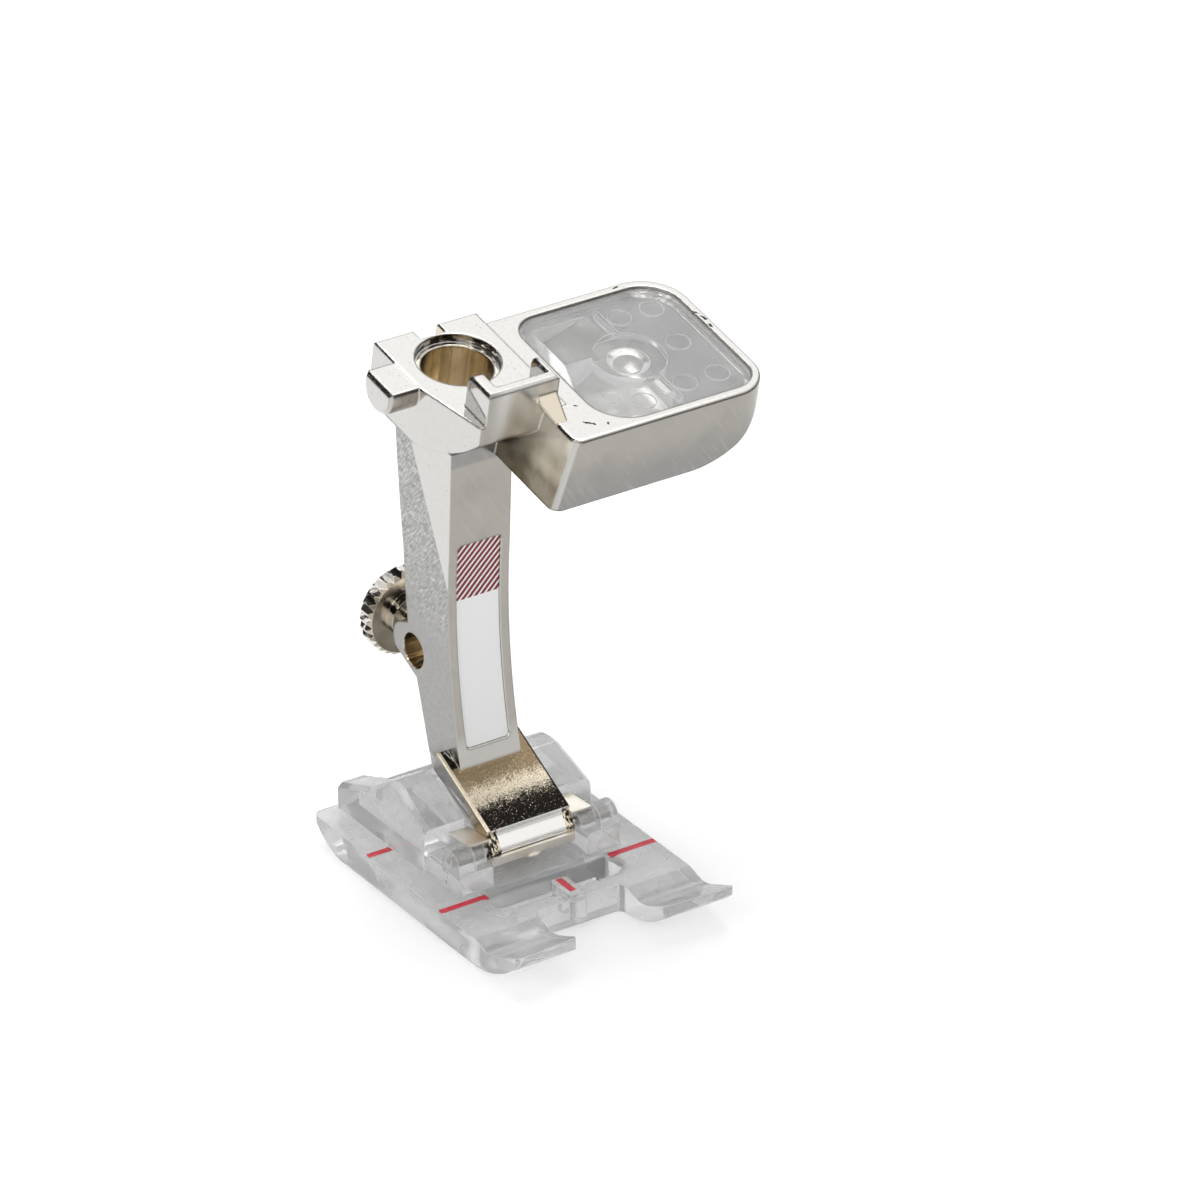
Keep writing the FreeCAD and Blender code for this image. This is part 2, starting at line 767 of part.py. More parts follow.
def label_band(body, name, half_width, low, high, thickness, corner):
    """Add a band that follows the column's front face between two heights, with its back in the recess."""
    centre_y, centre_z = front_centre()
    outer = f"(column_front_radius + label_recess - {thickness})"
    inner = "(column_front_radius + label_recess)"
    slope_y = "(column_front_top - column_bend_y)"
    slope_z = f"({HEAD_UNDER} - column_bend_z)"

    def on_arc(radius, height):
        reach = f"sqrt({radius} ^ 2 - ({height} - {centre_z}) ^ 2)"
        return (f"{centre_y} + {reach}", height)

    def on_line(radius, height):
        run = f"({height} - column_bend_z) * {slope_y} / {slope_z}"
        return (f"column_bend_y + {run} + {radius} - column_front_radius", height)

    outline = [
        on_line(inner, high),
        on_line(outer, high),
        on_arc(outer, "column_bend_z"),
        (*on_arc(outer, low), RIGHT, outer),
        on_arc(inner, low),
        (*on_arc(inner, "column_bend_z"), LEFT, inner),
    ]
    add(body, name, "YZ_Plane", f"-({half_width})", half_width, outline)
    corners = [
        ((across, "0", height), (across, "column_front_top", height))
        for across in (f"-({half_width})", half_width)
        for height in (low, high)
    ]
    soften(body, "Fillet", name + "Corners", corner, *corners)


def bores_body():
    """Every round hole of the casting, drawn as solid plugs."""
    body = body_named("BoresBody")
    socket = ("0", "socket_y", "socket_radius")
    add(body, "Socket", "XY_Plane", "head_top - socket_depth", "head_top", socket)
    mouth = ("0", "socket_y", "socket_mouth_radius")
    add(body, "SocketMouth", "XY_Plane", "head_top - socket_mouth_depth", "head_top", mouth)
    return body


def cross_hole_body():
    """Cross hole for the guide rod."""
    body = body_named("CrossHoleBody")
    hole = ("cross_hole_y", "cross_hole_z", "cross_hole_radius")
    add(body, "CrossHole", "YZ_Plane", "-flare_half_width", "flare_half_width", hole)
    return body


def pin_bore_body():
    """Running bore for the hinge pin through the nose."""
    body = body_named("PinBoreBody")
    bore = ("0", "0", "pin_radius + pin_running_fit")
    add(body, "PinBore", "YZ_Plane", "-ramp_half_width", "ramp_half_width", bore)
    return body


def rivet_hole_body():
    """Blind hole for the rivet in the underside of the web."""
    body = body_named("RivetHoleBody")
    hole = ("0", "rivet_y", "rivet_radius")
    add(body, "RivetHole", "XY_Plane", "-nose_radius", "rivet_depth - nose_radius", hole)
    return body


def revolve(body, name, outline):
    """Turn an outline, drawn as (rearward, up), about the body's front-to-rear axis."""
    sketch = sketch_on(body, name + "Sketch", "YZ_Plane")
    fill_sketch(sketch, outline)
    turned = body.newObject("PartDesign::Revolution", name)
    turned.Profile = sketch
    turned.ReferenceAxis = (sketch, ["H_Axis"])
    doc.recompute()
    return turned


def screw_hole_body():
    """Tapped hole of the thumb screw, from the cross hole out through the boss."""
    body = body_named("ScrewHoleBody")
    hole = rectangle("0", "0", "collar_start", "screw_radius + screw_running_fit")
    revolve(body, "ScrewHole", hole)
    body.Placement = FreeCAD.Placement(
        Vector(0, value("cross_hole_y"), value("cross_hole_z")),
        FreeCAD.Rotation(Vector(1, 0, 0), value("-screw_droop")),
    )
    body.setExpression("Placement.Base.y", formula("cross_hole_y"))
    body.setExpression("Placement.Base.z", formula("cross_hole_z"))
    body.setExpression("Placement.Rotation.Angle", formula("-screw_droop"))
    return body


def shank_casting():
    """Join the casting's blocks, then take out its holes and the label recess."""
    blocks = [column_body(), nose_body(), head_body(), tub_body(), gusset_body()]
    joined = doc.addObject("Part::MultiFuse", "CastingBlocks")
    joined.Shapes = blocks
    joined.Refine = True
    recess = body_named("LabelRecessBody")
    label_band(recess, "LabelRecess", "label_half_width", "label_low", "label_high",
               "2 * label_recess", "label_corner")
    holes = [
        bores_body(),
        cross_hole_body(),
        pin_bore_body(),
        rivet_hole_body(),
        screw_hole_body(),
        tub_hollow_body(),
        recess,
    ]
    plugs = doc.addObject("Part::MultiFuse", "CastingHoles")
    plugs.Shapes = holes
    casting = doc.addObject("Part::Cut", "shank_casting")
    casting.Base = joined
    casting.Tool = plugs
    lean_with_shank(casting)
    return casting


def label_plate():
    """Thin plate in the column's label recess."""
    body = body_named("label_plate")
    label_band(body, "Plate", "label_half_width - label_fit", "label_low + label_fit",
               "label_high - label_fit", "label_thickness", "label_corner - label_fit")
    lean_with_shank(body)
    return body


def sensor_lens():
    """Clear insert that closes the tub, with its boss, dome, prisms, rib and pads on the underside."""
    body = body_named("sensor_lens")
    add(body, "Plate", "XY_Plane", SEAT_LOW, f"{SEAT_LOW} + lens_thickness", lens_outline("0"))
    boss = ("lens_boss_x", "lens_boss_y", "lens_boss_radius")
    add(body, "LensBoss", "XY_Plane", f"{SEAT_LOW} - lens_boss_depth", SEAT_LOW, boss)
    dome_low = f"({SEAT_LOW} - lens_dome_depth)"
    dome = ("lens_boss_x", "lens_boss_y", "lens_dome_radius")
    add(body, "LensDome", "XY_Plane", dome_low, SEAT_LOW, dome)
    dome_edge = (
        ("lens_boss_x - lens_dome_radius", "lens_boss_y - lens_dome_radius", dome_low),
        ("lens_boss_x + lens_dome_radius", "lens_boss_y + lens_dome_radius", dome_low),
    )
    soften(body, "Chamfer", "LensDomeBevel", "lens_dome_bevel", dome_edge)
    rib = rectangle("lens_rib_x", "lens_rib_front", "lens_rib_x + lens_rib_thickness", "lens_rib_rear")
    add(body, "LensRib", "XY_Plane", f"{SEAT_LOW} - lens_rib_depth", SEAT_LOW, rib)
    prism = [
        ("prism_left", SEAT_LOW),
        ("prism_tip", f"{SEAT_LOW} - prism_depth"),
        ("prism_right", SEAT_LOW),
    ]
    add(body, "LensPrism", "XZ_Plane", "prism_front", "prism_rear", prism)
    wedge = [
        ("wedge_left", SEAT_LOW),
        ("lens_rib_x", f"{SEAT_LOW} - wedge_depth"),
        ("lens_rib_x", SEAT_LOW),
    ]
    add(body, "LensWedge", "XZ_Plane", "wedge_front", "wedge_rear", wedge)
    add(body, "LensPads", "XY_Plane", f"{SEAT_LOW} - pad_depth", SEAT_LOW, *LENS_PADS)
    lean_with_shank(body)
    return body


def thumb_screw():
    """Thumb screw with its collar, its shaft and V teeth round the disc."""
    body = body_named("thumb_screw")
    tip = "(cross_hole_radius + screw_tip_gap)"
    rear = "(disc_start + disc_thickness)"
    profile = [
        (tip, "0"),
        (rear + " - disc_dish_depth", "0"),
        (rear + " - disc_dish_depth", "disc_dish_radius - disc_dish_depth"),
        (rear, "disc_dish_radius"),
        (rear, "disc_radius - disc_bevel"),
        (rear + " - disc_bevel", "disc_radius"),
        ("disc_start + disc_bevel", "disc_radius"),
        ("disc_start", "disc_radius - disc_bevel"),
        ("disc_start", "collar_radius"),
        ("collar_start", "collar_radius"),
        ("collar_start", "screw_radius"),
        (tip + " + screw_tip_bevel", "screw_radius"),
        (tip, "screw_radius - screw_tip_bevel"),
    ]
    revolve(body, "Turned", profile)
    notch = [
        ("0", "disc_radius - knurl_depth"),
        ("knurl_width / 2", "disc_radius"),
        ("knurl_width / 2", "disc_radius + knurl_depth"),
        ("-knurl_width / 2", "disc_radius + knurl_depth"),
        ("-knurl_width / 2", "disc_radius"),
    ]
    first = cut(body, "Notch", "XZ_Plane", "disc_start", rear, notch)
    teeth = body.newObject("PartDesign::PolarPattern", "Teeth")
    teeth.Originals = [first]
    teeth.Axis = (plane_of(body, "Y_Axis"), [""])
    teeth.setExpression("Occurrences", formula("knurl_count"))
    body.Tip = teeth
    doc.recompute()
    lean_with_shank(body, "cross_hole_y", "cross_hole_z", "-screw_droop")
    return body


def hinge_pin():
    """Pin that the sole turns on with the shank."""
    body = body_named("hinge_pin")
    reach = "(lug_outer - pin_end_inset)"
    add(body, "Pin", "YZ_Plane", f"-{reach}", reach, ("pin_y", "pin_z", "pin_radius"))
    return body


def leaf_clip():
    """Bent spring sheet: floor under the nose, front lip, ears and wings."""
    body = body_named("leaf_clip")
    floor_top = "(-nose_radius)"
    floor_low = "(-nose_radius - sheet)"
    lip_back = "(nose_radius + lip_fit)"
    floor = rectangle("-clip_half_width", f"-{lip_back} - sheet", "clip_half_width", "clip_rear")
    add(body, "Floor", "XY_Plane", floor_low, floor_top, floor)
    ear_in = "(ramp_half_width + clip_side_fit)"
    lip = rectangle(f"-{lip_back} - sheet", floor_low, f"-{lip_back}", "-lip_top")
    add(body, "Lip", "YZ_Plane", "-lip_half_width", "lip_half_width", lip)
    shelf = rectangle(f"-{ear_in} - sheet", "0", f"{ear_in} + sheet", "ear_rear")
    add(body, "Shelf", "XY_Plane", floor_low, floor_top, shelf)
    wing_run = "(wing_rear_y + wing_front_y)"
    wing_fall = "(wing_front_z - wing_rear_z)"
    at_zero = f"(wing_front_z - wing_front_y * {wing_fall} / {wing_run})"
    at_ear = f"(wing_front_z - (wing_front_y + ear_rear) * {wing_fall} / {wing_run})"
    ear = [
        ("0", floor_low),
        ("ear_rear", floor_low),
        ("ear_rear", at_ear),
        ("0", at_zero),
    ]
    right_ear = add(body, "Ear", "YZ_Plane", ear_in, f"{ear_in} + sheet", ear)
    wing = [
        ("-wing_front_y", "wing_front_z"),
        ("-wing_front_y", "wing_front_z - sheet"),
        ("wing_rear_y", "wing_rear_z - sheet"),
        ("wing_rear_y", "wing_rear_z"),
    ]
    right_wing = add(body, "Wing", "YZ_Plane", ear_in, "wing_reach", wing)
    mirror(body, "OtherEarAndWing", [right_ear, right_wing])
    reach = f"({ear_in} + sheet)"
    dimple_low = f"({floor_low} - dimple_depth)"
    add(body, "Dimple", "XY_Plane", dimple_low, floor_low, ("0", "0", "dimple_radius"))
    dimple_edge = (
        ("-dimple_radius", "-dimple_radius", dimple_low),
        ("dimple_radius", "dimple_radius", dimple_low),
    )
    soften(body, "Chamfer", "DimpleBevel", "dimple_bevel", dimple_edge)
    clearance = ("0", "0", "pin_radius + 2 * pin_running_fit")
    cut(body, "PinClearance", "YZ_Plane", f"-{reach}", reach, clearance)
    cut(body, "RivetClearance", "XY_Plane", floor_low, floor_top, ("0", "rivet_y", "rivet_radius"))
    lean_with_shank(body)
    return body


def clip_rivet():
    """Rivet that holds the clip's floor on the underside of the web."""
    body = body_named("clip_rivet")
    sheet_low = "(-nose_radius - sheet)"
    add(body, "Shaft", "XY_Plane", sheet_low, "rivet_depth - nose_radius", ("0", "rivet_y", "rivet_radius"))
    add(body, "RivetHead", "XY_Plane", f"{sheet_low} - rivet_head_height", sheet_low,
        ("0", "rivet_y", "rivet_head_radius"))
    lean_with_shank(body)
    return body


def tangent_radius(run, rise):
    """Radius of an arc that leaves a flat and climbs by rise over run."""
    return f"((({run}) ^ 2 + ({rise}) ^ 2) / (2 * ({rise})))"


def sole_plan():
    """Outline the sole in plan: two toes with slanted fronts, the gap between them and a straight rear."""
    outer = "(toe_corner * (1 + sin(toe_slant)) / cos(toe_slant))"
    inner = "(toe_inner_corner * (1 - sin(toe_slant)) / cos(toe_slant))"
    outer_x = f"(sole_half_width - {outer} * cos(toe_slant))"
    outer_y = f"(-{TOE_FRONT} + {outer} * sin(toe_slant))"
    inner_x = f"(gap_half_width + {inner} * cos(toe_slant))"
    inner_y = f"(-toe_inner_front - {inner} * sin(toe_slant))"
    return [
        (f"-{outer_x}", outer_y, LEFT, "toe_corner"),
        (f"-{inner_x}", inner_y),
        ("-gap_half_width", f"-toe_inner_front + {inner}", LEFT, "toe_inner_corner"),
        ("-gap_half_width", "-bridge_front - toe_inner_corner"),
        ("-gap_half_width + toe_inner_corner", "-bridge_front", RIGHT, "toe_inner_corner"),
        ("gap_half_width - toe_inner_corner", "-bridge_front"),
        ("gap_half_width", "-bridge_front - toe_inner_corner", RIGHT, "toe_inner_corner"),
        ("gap_half_width", f"-toe_inner_front + {inner}"),
        (inner_x, inner_y, LEFT, "toe_inner_corner"),
        (outer_x, outer_y),
        ("sole_half_width", f"-{TOE_FRONT} + {outer}", LEFT, "toe_corner"),
        ("sole_half_width", "sole_rear - rear_corner"),
        ("sole_half_width - rear_corner", "sole_rear", LEFT, "rear_corner"),
        ("-sole_half_width + rear_corner", "sole_rear"),
        ("-sole_half_width", "sole_rear - rear_corner", LEFT, "rear_corner"),
        ("-sole_half_width", f"-{TOE_FRONT} + {outer}"),
    ]


def sole_side():
    """Outline the sole plate from the side: upturned toes, flat middle and rounded heel."""
    toe_rise = tangent_radius("toe_low_end - toe_low_start", "toe_low_rise")
    heel_rise = tangent_radius("heel_curve_end - heel_curve_start", "heel_curve_rise")
    climb_y = "(toe_dip_y + toe_dip_radius * sin(toe_climb))"
    climb_z = "(plate_thickness - toe_dip + toe_dip_radius * (1 - cos(toe_climb)))"
    return [
        ("heel_curve_start", "0"),
        ("heel_curve_end", "heel_curve_rise", LEFT, heel_rise),
        ("sole_rear", "plate_thickness"),
        ("-toe_dip_start", "plate_thickness"),
        ("-toe_dip_y", "plate_thickness - toe_dip"),
        (f"-{climb_y}", climb_z, RIGHT, "toe_dip_radius"),
        (f"-{TOE_FRONT}", f"{climb_z} + ({TOE_FRONT} - {climb_y}) * tan(toe_climb)"),
        ("-toe_low_end", "toe_low_rise"),
        ("-toe_low_start", "0", LEFT, toe_rise),
    ]


def lug_outline(centre, radius):
    """Outline a hinge lug from the side: a half-round top on the lug base."""
    front = f"{centre} - {radius}"
    rear = f"{centre} + {radius}"
    return [
        (front, "plate_thickness"),
        (rear, "plate_thickness"),
        (rear, "pin_z"),
        (centre, f"pin_z + {radius}", LEFT, radius),
        (front, "pin_z", LEFT, radius),
    ]


def clear_sole():
    """Clear moulded sole: plate and toes, slot, tongue, lugs, side blocks and rear rim."""
    body = body_named("clear_sole")
    add(body, "Plate", "YZ_Plane", "-sole_half_width", "sole_half_width", sole_side())
    around = rectangle("-2 * sole_half_width", f"-2 * {TOE_FRONT}", "2 * sole_half_width", "2 * sole_rear")
    cut(body, "PlateOutline", "XY_Plane", "0", "2 * plate_thickness", sole_plan(), around)
    tunnel = rectangle("-tunnel_half_width", "0", "tunnel_half_width", "tunnel_depth")
    cut(body, "Tunnel", "XZ_Plane", "0", "sole_rear", tunnel)
    corners = ["slot_front_corner", "slot_front_corner", "slot_rear_corner", "slot_rear_corner"]
    slot = rounded_box("-slot_half_width", "-slot_front", "slot_half_width", "slot_rear", corners)
    cut(body, "Slot", "XY_Plane", "0", "plate_thickness", slot)
    slot_front_edges = (
        ("-slot_half_width", "-slot_front", "plate_thickness"),
        ("slot_half_width", "-slot_front + slot_front_corner", "plate_thickness"),
    )
    soften(body, "Fillet", "SlotLip", "slot_lip_radius", slot_front_edges)
    corners = ["tongue_corner"] * 4
    tongue = rounded_box("-tongue_half_width", "-bridge_front", "tongue_half_width", "-tongue_tip", corners)
    add(body, "Tongue", "XY_Plane", "tunnel_depth", "plate_thickness + tongue_rise", tongue)
    add(body, "Boss", "XY_Plane", "tunnel_depth", "plate_thickness", ("0", "-bridge_front", "boss_radius"))
    halves = sole_half(body)
    mirror(body, "OtherHalf", halves)
    crests = [
        ((left, "block_front", "rim_top"), (right, "rim_rear", "block_crest_top"))
        for left, right in (("block_crest", "block_foot"), ("-block_foot", "-block_crest"))
    ]
    soften(body, "Chamfer", "BlockCrests", "block_edge", *crests)
    rim = [
        ("-block_crest", "plate_thickness"),
        ("block_crest", "plate_thickness"),
        ("block_crest", "rim_top"),
        ("rim_dip_outer", "rim_top"),
        ("rim_dip_inner", "rim_middle_top"),
        ("-rim_dip_inner", "rim_middle_top"),
        ("-rim_dip_outer", "rim_top"),
        ("-block_crest", "rim_top"),
    ]
    add(body, "RearRim", "XZ_Plane", "rim_rear - rim_thickness", "rim_rear", rim)
    marks(body)
    cut(body, "PinHole", "YZ_Plane", "-lug_outer", "lug_outer", ("pin_y", "pin_z", "pin_radius"))
    return body


def sole_half(body):
    """Build what stands on the plate's right half: lug base, lug, wing seat and side block."""
    base = [
        ("lug_base_front", "plate_thickness"),
        ("block_front", "plate_thickness"),
        ("block_front", "lug_base_top"),
        ("lug_base_front", "lug_base_top"),
    ]
    block = [
        ("block_front", "plate_thickness"),
        ("rim_rear", "plate_thickness"),
        ("rim_rear", "rim_top"),
        ("block_fall_y", "block_fall_z"),
        ("block_brow_y", "block_brow_z"),
        ("block_shoulder_y", "block_shoulder_z", LEFT, "block_crest_radius"),
        ("block_front", "block_front_top"),
    ]
    flank = [
        ("block_crest", "block_crest_top"),
        ("block_foot", "plate_thickness", RIGHT, "block_flank_radius"),
        ("block_foot", "block_crest_top"),
    ]
    slope = "(rim_top - rim_middle_top) / (rim_dip_outer - rim_dip_inner)"
    dip = [
        ("block_inner", f"rim_middle_top + (block_inner - rim_dip_inner) * {slope}"),
        ("rim_dip_outer", "rim_top"),
        ("rim_dip_outer", "block_brow_z"),
        ("block_inner", "block_brow_z"),
    ]
    lug = lug_outline("(pin_y - lug_lead)", "lug_radius")
    seat = lug_outline("pin_y", "seat_radius")
    return [
        add(body, "LugBase", "YZ_Plane", "lug_inner", "lug_outer", base),
        add(body, "Lug", "YZ_Plane", "lug_split", "lug_outer", lug),
        add(body, "WingSeat", "YZ_Plane", "lug_inner", "lug_split", seat),
        add(body, "Block", "YZ_Plane", "block_inner", "block_foot", block),
        cut(body, "BlockFlank", "XZ_Plane", "block_front", "rim_rear", flank),
        cut(body, "BlockDip", "XZ_Plane", "block_dip_front", "rim_rear", dip),
    ]


def marks(body):
    """Engrave the red marks: one each side of the needle, one at the rear left, one on the tongue."""
    half = "mark_width / 2"
    plate_marks = [
        rectangle("side_mark_inner", f"-{half}", "sole_half_width", half),
        rectangle("-sole_half_width", f"-{half}", "-side_mark_inner", half),
        rectangle("-sole_half_width", f"rear_mark_y - {half}", "-rear_mark_inner", f"rear_mark_y + {half}"),
    ]
    cut(body, "PlateMarks", "XY_Plane", "plate_thickness - mark_depth", "plate_thickness", *plate_marks)
    tongue_top = "(plate_thickness + tongue_rise)"
    centre_mark = rectangle(f"-{half}", "-centre_mark_front", half, "-centre_mark_rear")
    cut(body, "CentreMark", "XY_Plane", f"{tongue_top} - mark_depth", tongue_top, centre_mark)


def check(pieces):
    """Stop if anything in the document failed or any piece is not one valid shape."""
    for item in doc.Objects:
        if {"Invalid", "Error"} & set(item.State):
            raise ValueError(f"{item.Name}: {item.State}")
    for piece in pieces:
        if piece.Shape.isNull() or not piece.Shape.isValid():
            raise ValueError(f"{piece.Label} has no valid shape")
        print(piece.Label, len(piece.Shape.Solids), "solid", round(piece.Shape.Volume, 3), "mm3")


def main():
    """Build every piece, check it and write it out."""
    pieces = [
        shank_casting(),
        label_plate(),
        sensor_lens(),
        thumb_screw(),
        hinge_pin(),
        leaf_clip(),
        clip_rivet(),
        clear_sole(),
    ]
    doc.recompute()
    check(pieces)
    os.makedirs("parts", exist_ok=True)
    for piece in pieces:
        piece.Shape.exportStep(f"parts/{piece.Label}.step")


main()
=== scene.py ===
"""Finishes, printed label, painted marks and studio for the clear-sole embroidery foot.

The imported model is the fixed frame, in metres: the needle's line is at x = 0 and y = 0, the sole's underside
at z = 0, +Y to the rear and +X to the side of the sensor tub. Patterns on the shank are laid out in
millimetres in the shank frame, which has its origin on the hinge pin and its Z along the leaning shank.
"""
from __future__ import annotations

import functools
import json
import logging
import math
import operator
from dataclasses import dataclass, field
from enum import Enum
from typing import Any

import bpy
from mathutils import Euler, Matrix, Vector

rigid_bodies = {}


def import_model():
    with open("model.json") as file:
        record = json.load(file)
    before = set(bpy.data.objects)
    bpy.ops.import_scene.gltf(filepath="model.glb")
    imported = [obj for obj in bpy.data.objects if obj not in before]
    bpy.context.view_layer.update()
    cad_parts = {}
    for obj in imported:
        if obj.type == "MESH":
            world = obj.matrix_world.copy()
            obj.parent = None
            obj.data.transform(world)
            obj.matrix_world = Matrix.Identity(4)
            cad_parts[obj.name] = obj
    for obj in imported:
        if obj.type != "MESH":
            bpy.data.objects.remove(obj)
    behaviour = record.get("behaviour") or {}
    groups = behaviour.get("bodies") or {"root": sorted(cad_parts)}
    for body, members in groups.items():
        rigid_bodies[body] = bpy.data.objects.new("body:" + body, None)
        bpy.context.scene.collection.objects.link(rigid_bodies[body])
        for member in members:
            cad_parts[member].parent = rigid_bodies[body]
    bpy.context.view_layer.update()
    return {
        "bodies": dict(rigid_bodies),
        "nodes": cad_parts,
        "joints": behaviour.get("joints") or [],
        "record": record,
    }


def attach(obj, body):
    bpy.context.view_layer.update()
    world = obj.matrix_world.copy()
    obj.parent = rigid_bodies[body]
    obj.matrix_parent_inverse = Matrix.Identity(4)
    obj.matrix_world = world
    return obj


LOG = logging.getLogger("presser_foot")
MM = 0.001

Colour = tuple[float, float, float]
Triple = tuple[float, float, float]
Step = tuple[float, float]  # start and end of a smooth step
Band = tuple[float, float, float]  # lower end, upper end and soft edge of a mask

WHITE: Colour = (1.0, 1.0, 1.0)
MIX_SHARE, MIX_FIRST, MIX_SECOND, MIX_COLOUR = 0, 6, 7, 2  # sockets of a Mix node that mixes colours
BEVEL_SAMPLES = 6


class Number:
    """A number that runs along a node link, with arithmetic written as usual."""

    def __init__(self, graph: "Graph", socket: bpy.types.NodeSocket) -> None:
        """Wrap an output socket of a graph."""
        self.graph = graph
        self.socket = socket

    def _join(self, operation: str, *values: Any) -> "Number":
        """Result of one Math node with the values as its inputs."""
        made = self.graph.node("ShaderNodeMath", {"operation": operation}, dict(enumerate(values)))
        return Number(self.graph, made.outputs[0])

    def __add__(self, other: Any) -> "Number":
        """Sum."""
        return self._join("ADD", self, other)

    __radd__ = __add__

    def __sub__(self, other: Any) -> "Number":
        """Difference."""
        return self._join("SUBTRACT", self, other)

    def __rsub__(self, other: Any) -> "Number":
        """Difference from a plain number."""
        return self._join("SUBTRACT", other, self)

    def __mul__(self, other: Any) -> "Number":
        """Product."""
        return self._join("MULTIPLY", self, other)

    __rmul__ = __mul__

    def __truediv__(self, other: Any) -> "Number":
        """Quotient."""
        return self._join("DIVIDE", self, other)

    def __rtruediv__(self, other: Any) -> "Number":
        """Quotient of a plain number."""
        return self._join("DIVIDE", other, self)

    def __abs__(self) -> "Number":
        """Size without sign."""
        return self._join("ABSOLUTE", self)

    def over(self, start: float, end: float) -> "Number":
        """Rise smoothly from 0 at start to 1 at end, or fall where end is lower than start.

        Args:
            start: Value at which the result is 0.
            end: Value at which the result is 1.

        Returns:
            The smooth step.
        """
        settings = {"interpolation_type": "SMOOTHSTEP"}
        inputs = {"Value": self, "From Min": start, "From Max": end}
        return Number(self.graph, self.graph.node("ShaderNodeMapRange", settings, inputs).outputs[0])

    def within(self, low: float, high: float, soft: float) -> "Number":
        """Mask that is 1 from low to high and fades over a soft edge outside."""
        return self.over(low - soft, low) * self.over(high + soft, high)

    def root(self) -> "Number":
        """Square root."""
        return self._join("SQRT", self)

    def at_most(self, limit: float) -> "Number":
        """The smaller of this number and a limit."""
        return self._join("MINIMUM", self, limit)

    def saw(self, period: float) -> "Number":
        """Position inside a repeated period, from 0 to 1."""
        return self._join("FRACT", self / period)

    def angle_to(self, other: "Number") -> "Number":
        """Angle of the direction (other, self) in radians."""
        return self._join("ARCTAN2", self, other)


def added(parts: list[Number] | tuple[Number, ...]) -> Number:
    """Sum of several numbers, in their order."""
    return functools.reduce(operator.add, parts)


class Graph:
    """One node tree under construction."""

    def __init__(self, tree: bpy.types.NodeTree) -> None:
        """Start from an empty tree."""
        self.tree = tree
        tree.nodes.clear()

    def node(self, kind: str, settings: dict[str, Any] | None = None,
             inputs: dict[Any, Any] | None = None) -> bpy.types.Node:
        """Add a node, set it up and feed its sockets.

        Args:
            kind: The node's type.
            settings: Attributes that are set before the sockets.
            inputs: Socket names or numbers with values, sockets or Numbers.

        Returns:
            The node.
        """
        made = self.tree.nodes.new(kind)
        for name, setting in (settings or {}).items():
            setattr(made, name, setting)
        for name, given in (inputs or {}).items():
            self._feed(made.inputs[name], given)
        return made

    def _feed(self, socket: bpy.types.NodeSocket, given: Any) -> None:
        """Link a socket or set its value.

        Args:
            socket: The input socket.
            given: A Number, an output socket, a colour of three parts or a plain value.
        """
        if isinstance(given, Number):
            given = given.socket
        if isinstance(given, bpy.types.NodeSocket):
            self.tree.links.new(given, socket)
        elif socket.type == "RGBA" and len(given) == 3:
            socket.default_value = (*given, 1.0)
        else:
            socket.default_value = given

    def mix(self, share: Any, first: Any, second: Any) -> bpy.types.NodeSocket:
        """Colour that is the first at share 0 and the second at share 1."""
        inputs = {MIX_SHARE: share, MIX_FIRST: first, MIX_SECOND: second}
        return self.node("ShaderNodeMix", {"data_type": "RGBA"}, inputs).outputs[MIX_COLOUR]

    def stretched(self, where: Any, scale: Triple, turn: Triple = (0.0, 0.0, 0.0)) -> bpy.types.NodeSocket:
        """Turn, then stretch a vector.

        Args:
            where: Vector socket.
            scale: Factor along each axis after the turn.
            turn: Euler turn in degrees.

        Returns:
            The new vector's socket.
        """
        angles = tuple(math.radians(part) for part in turn)
        turned = self.node("ShaderNodeMapping", {"vector_type": "POINT"}, {"Vector": where, "Rotation": angles})
        scaled = self.node("ShaderNodeVectorMath", {"operation": "MULTIPLY"}, {0: turned.outputs[0], 1: scale})
        return scaled.outputs[0]

    def axes(self, vector: Any) -> tuple[Number, Number, Number]:
        """The three numbers of a vector."""
        split = self.node("ShaderNodeSeparateXYZ", None, {0: vector})
        return tuple(Number(self, output) for output in split.outputs)

    def coordinates(self, name: str) -> bpy.types.NodeSocket:
        """Texture coordinates of one kind, such as Object or Normal."""
        return self.node("ShaderNodeTexCoord").outputs[name]

    def millimetres(self) -> bpy.types.NodeSocket:
        """Object coordinates in millimetres of the row frame."""
        return self.stretched(self.coordinates("Object"), (1 / MM,) * 3)

    def surface(self, inputs: dict[str, Any]) -> None:
        """Close the tree with one Principled surface."""
        shader = self.node("ShaderNodeBsdfPrincipled", None, inputs)
        self.node("ShaderNodeOutputMaterial", None, {"Surface": shader.outputs[0]})


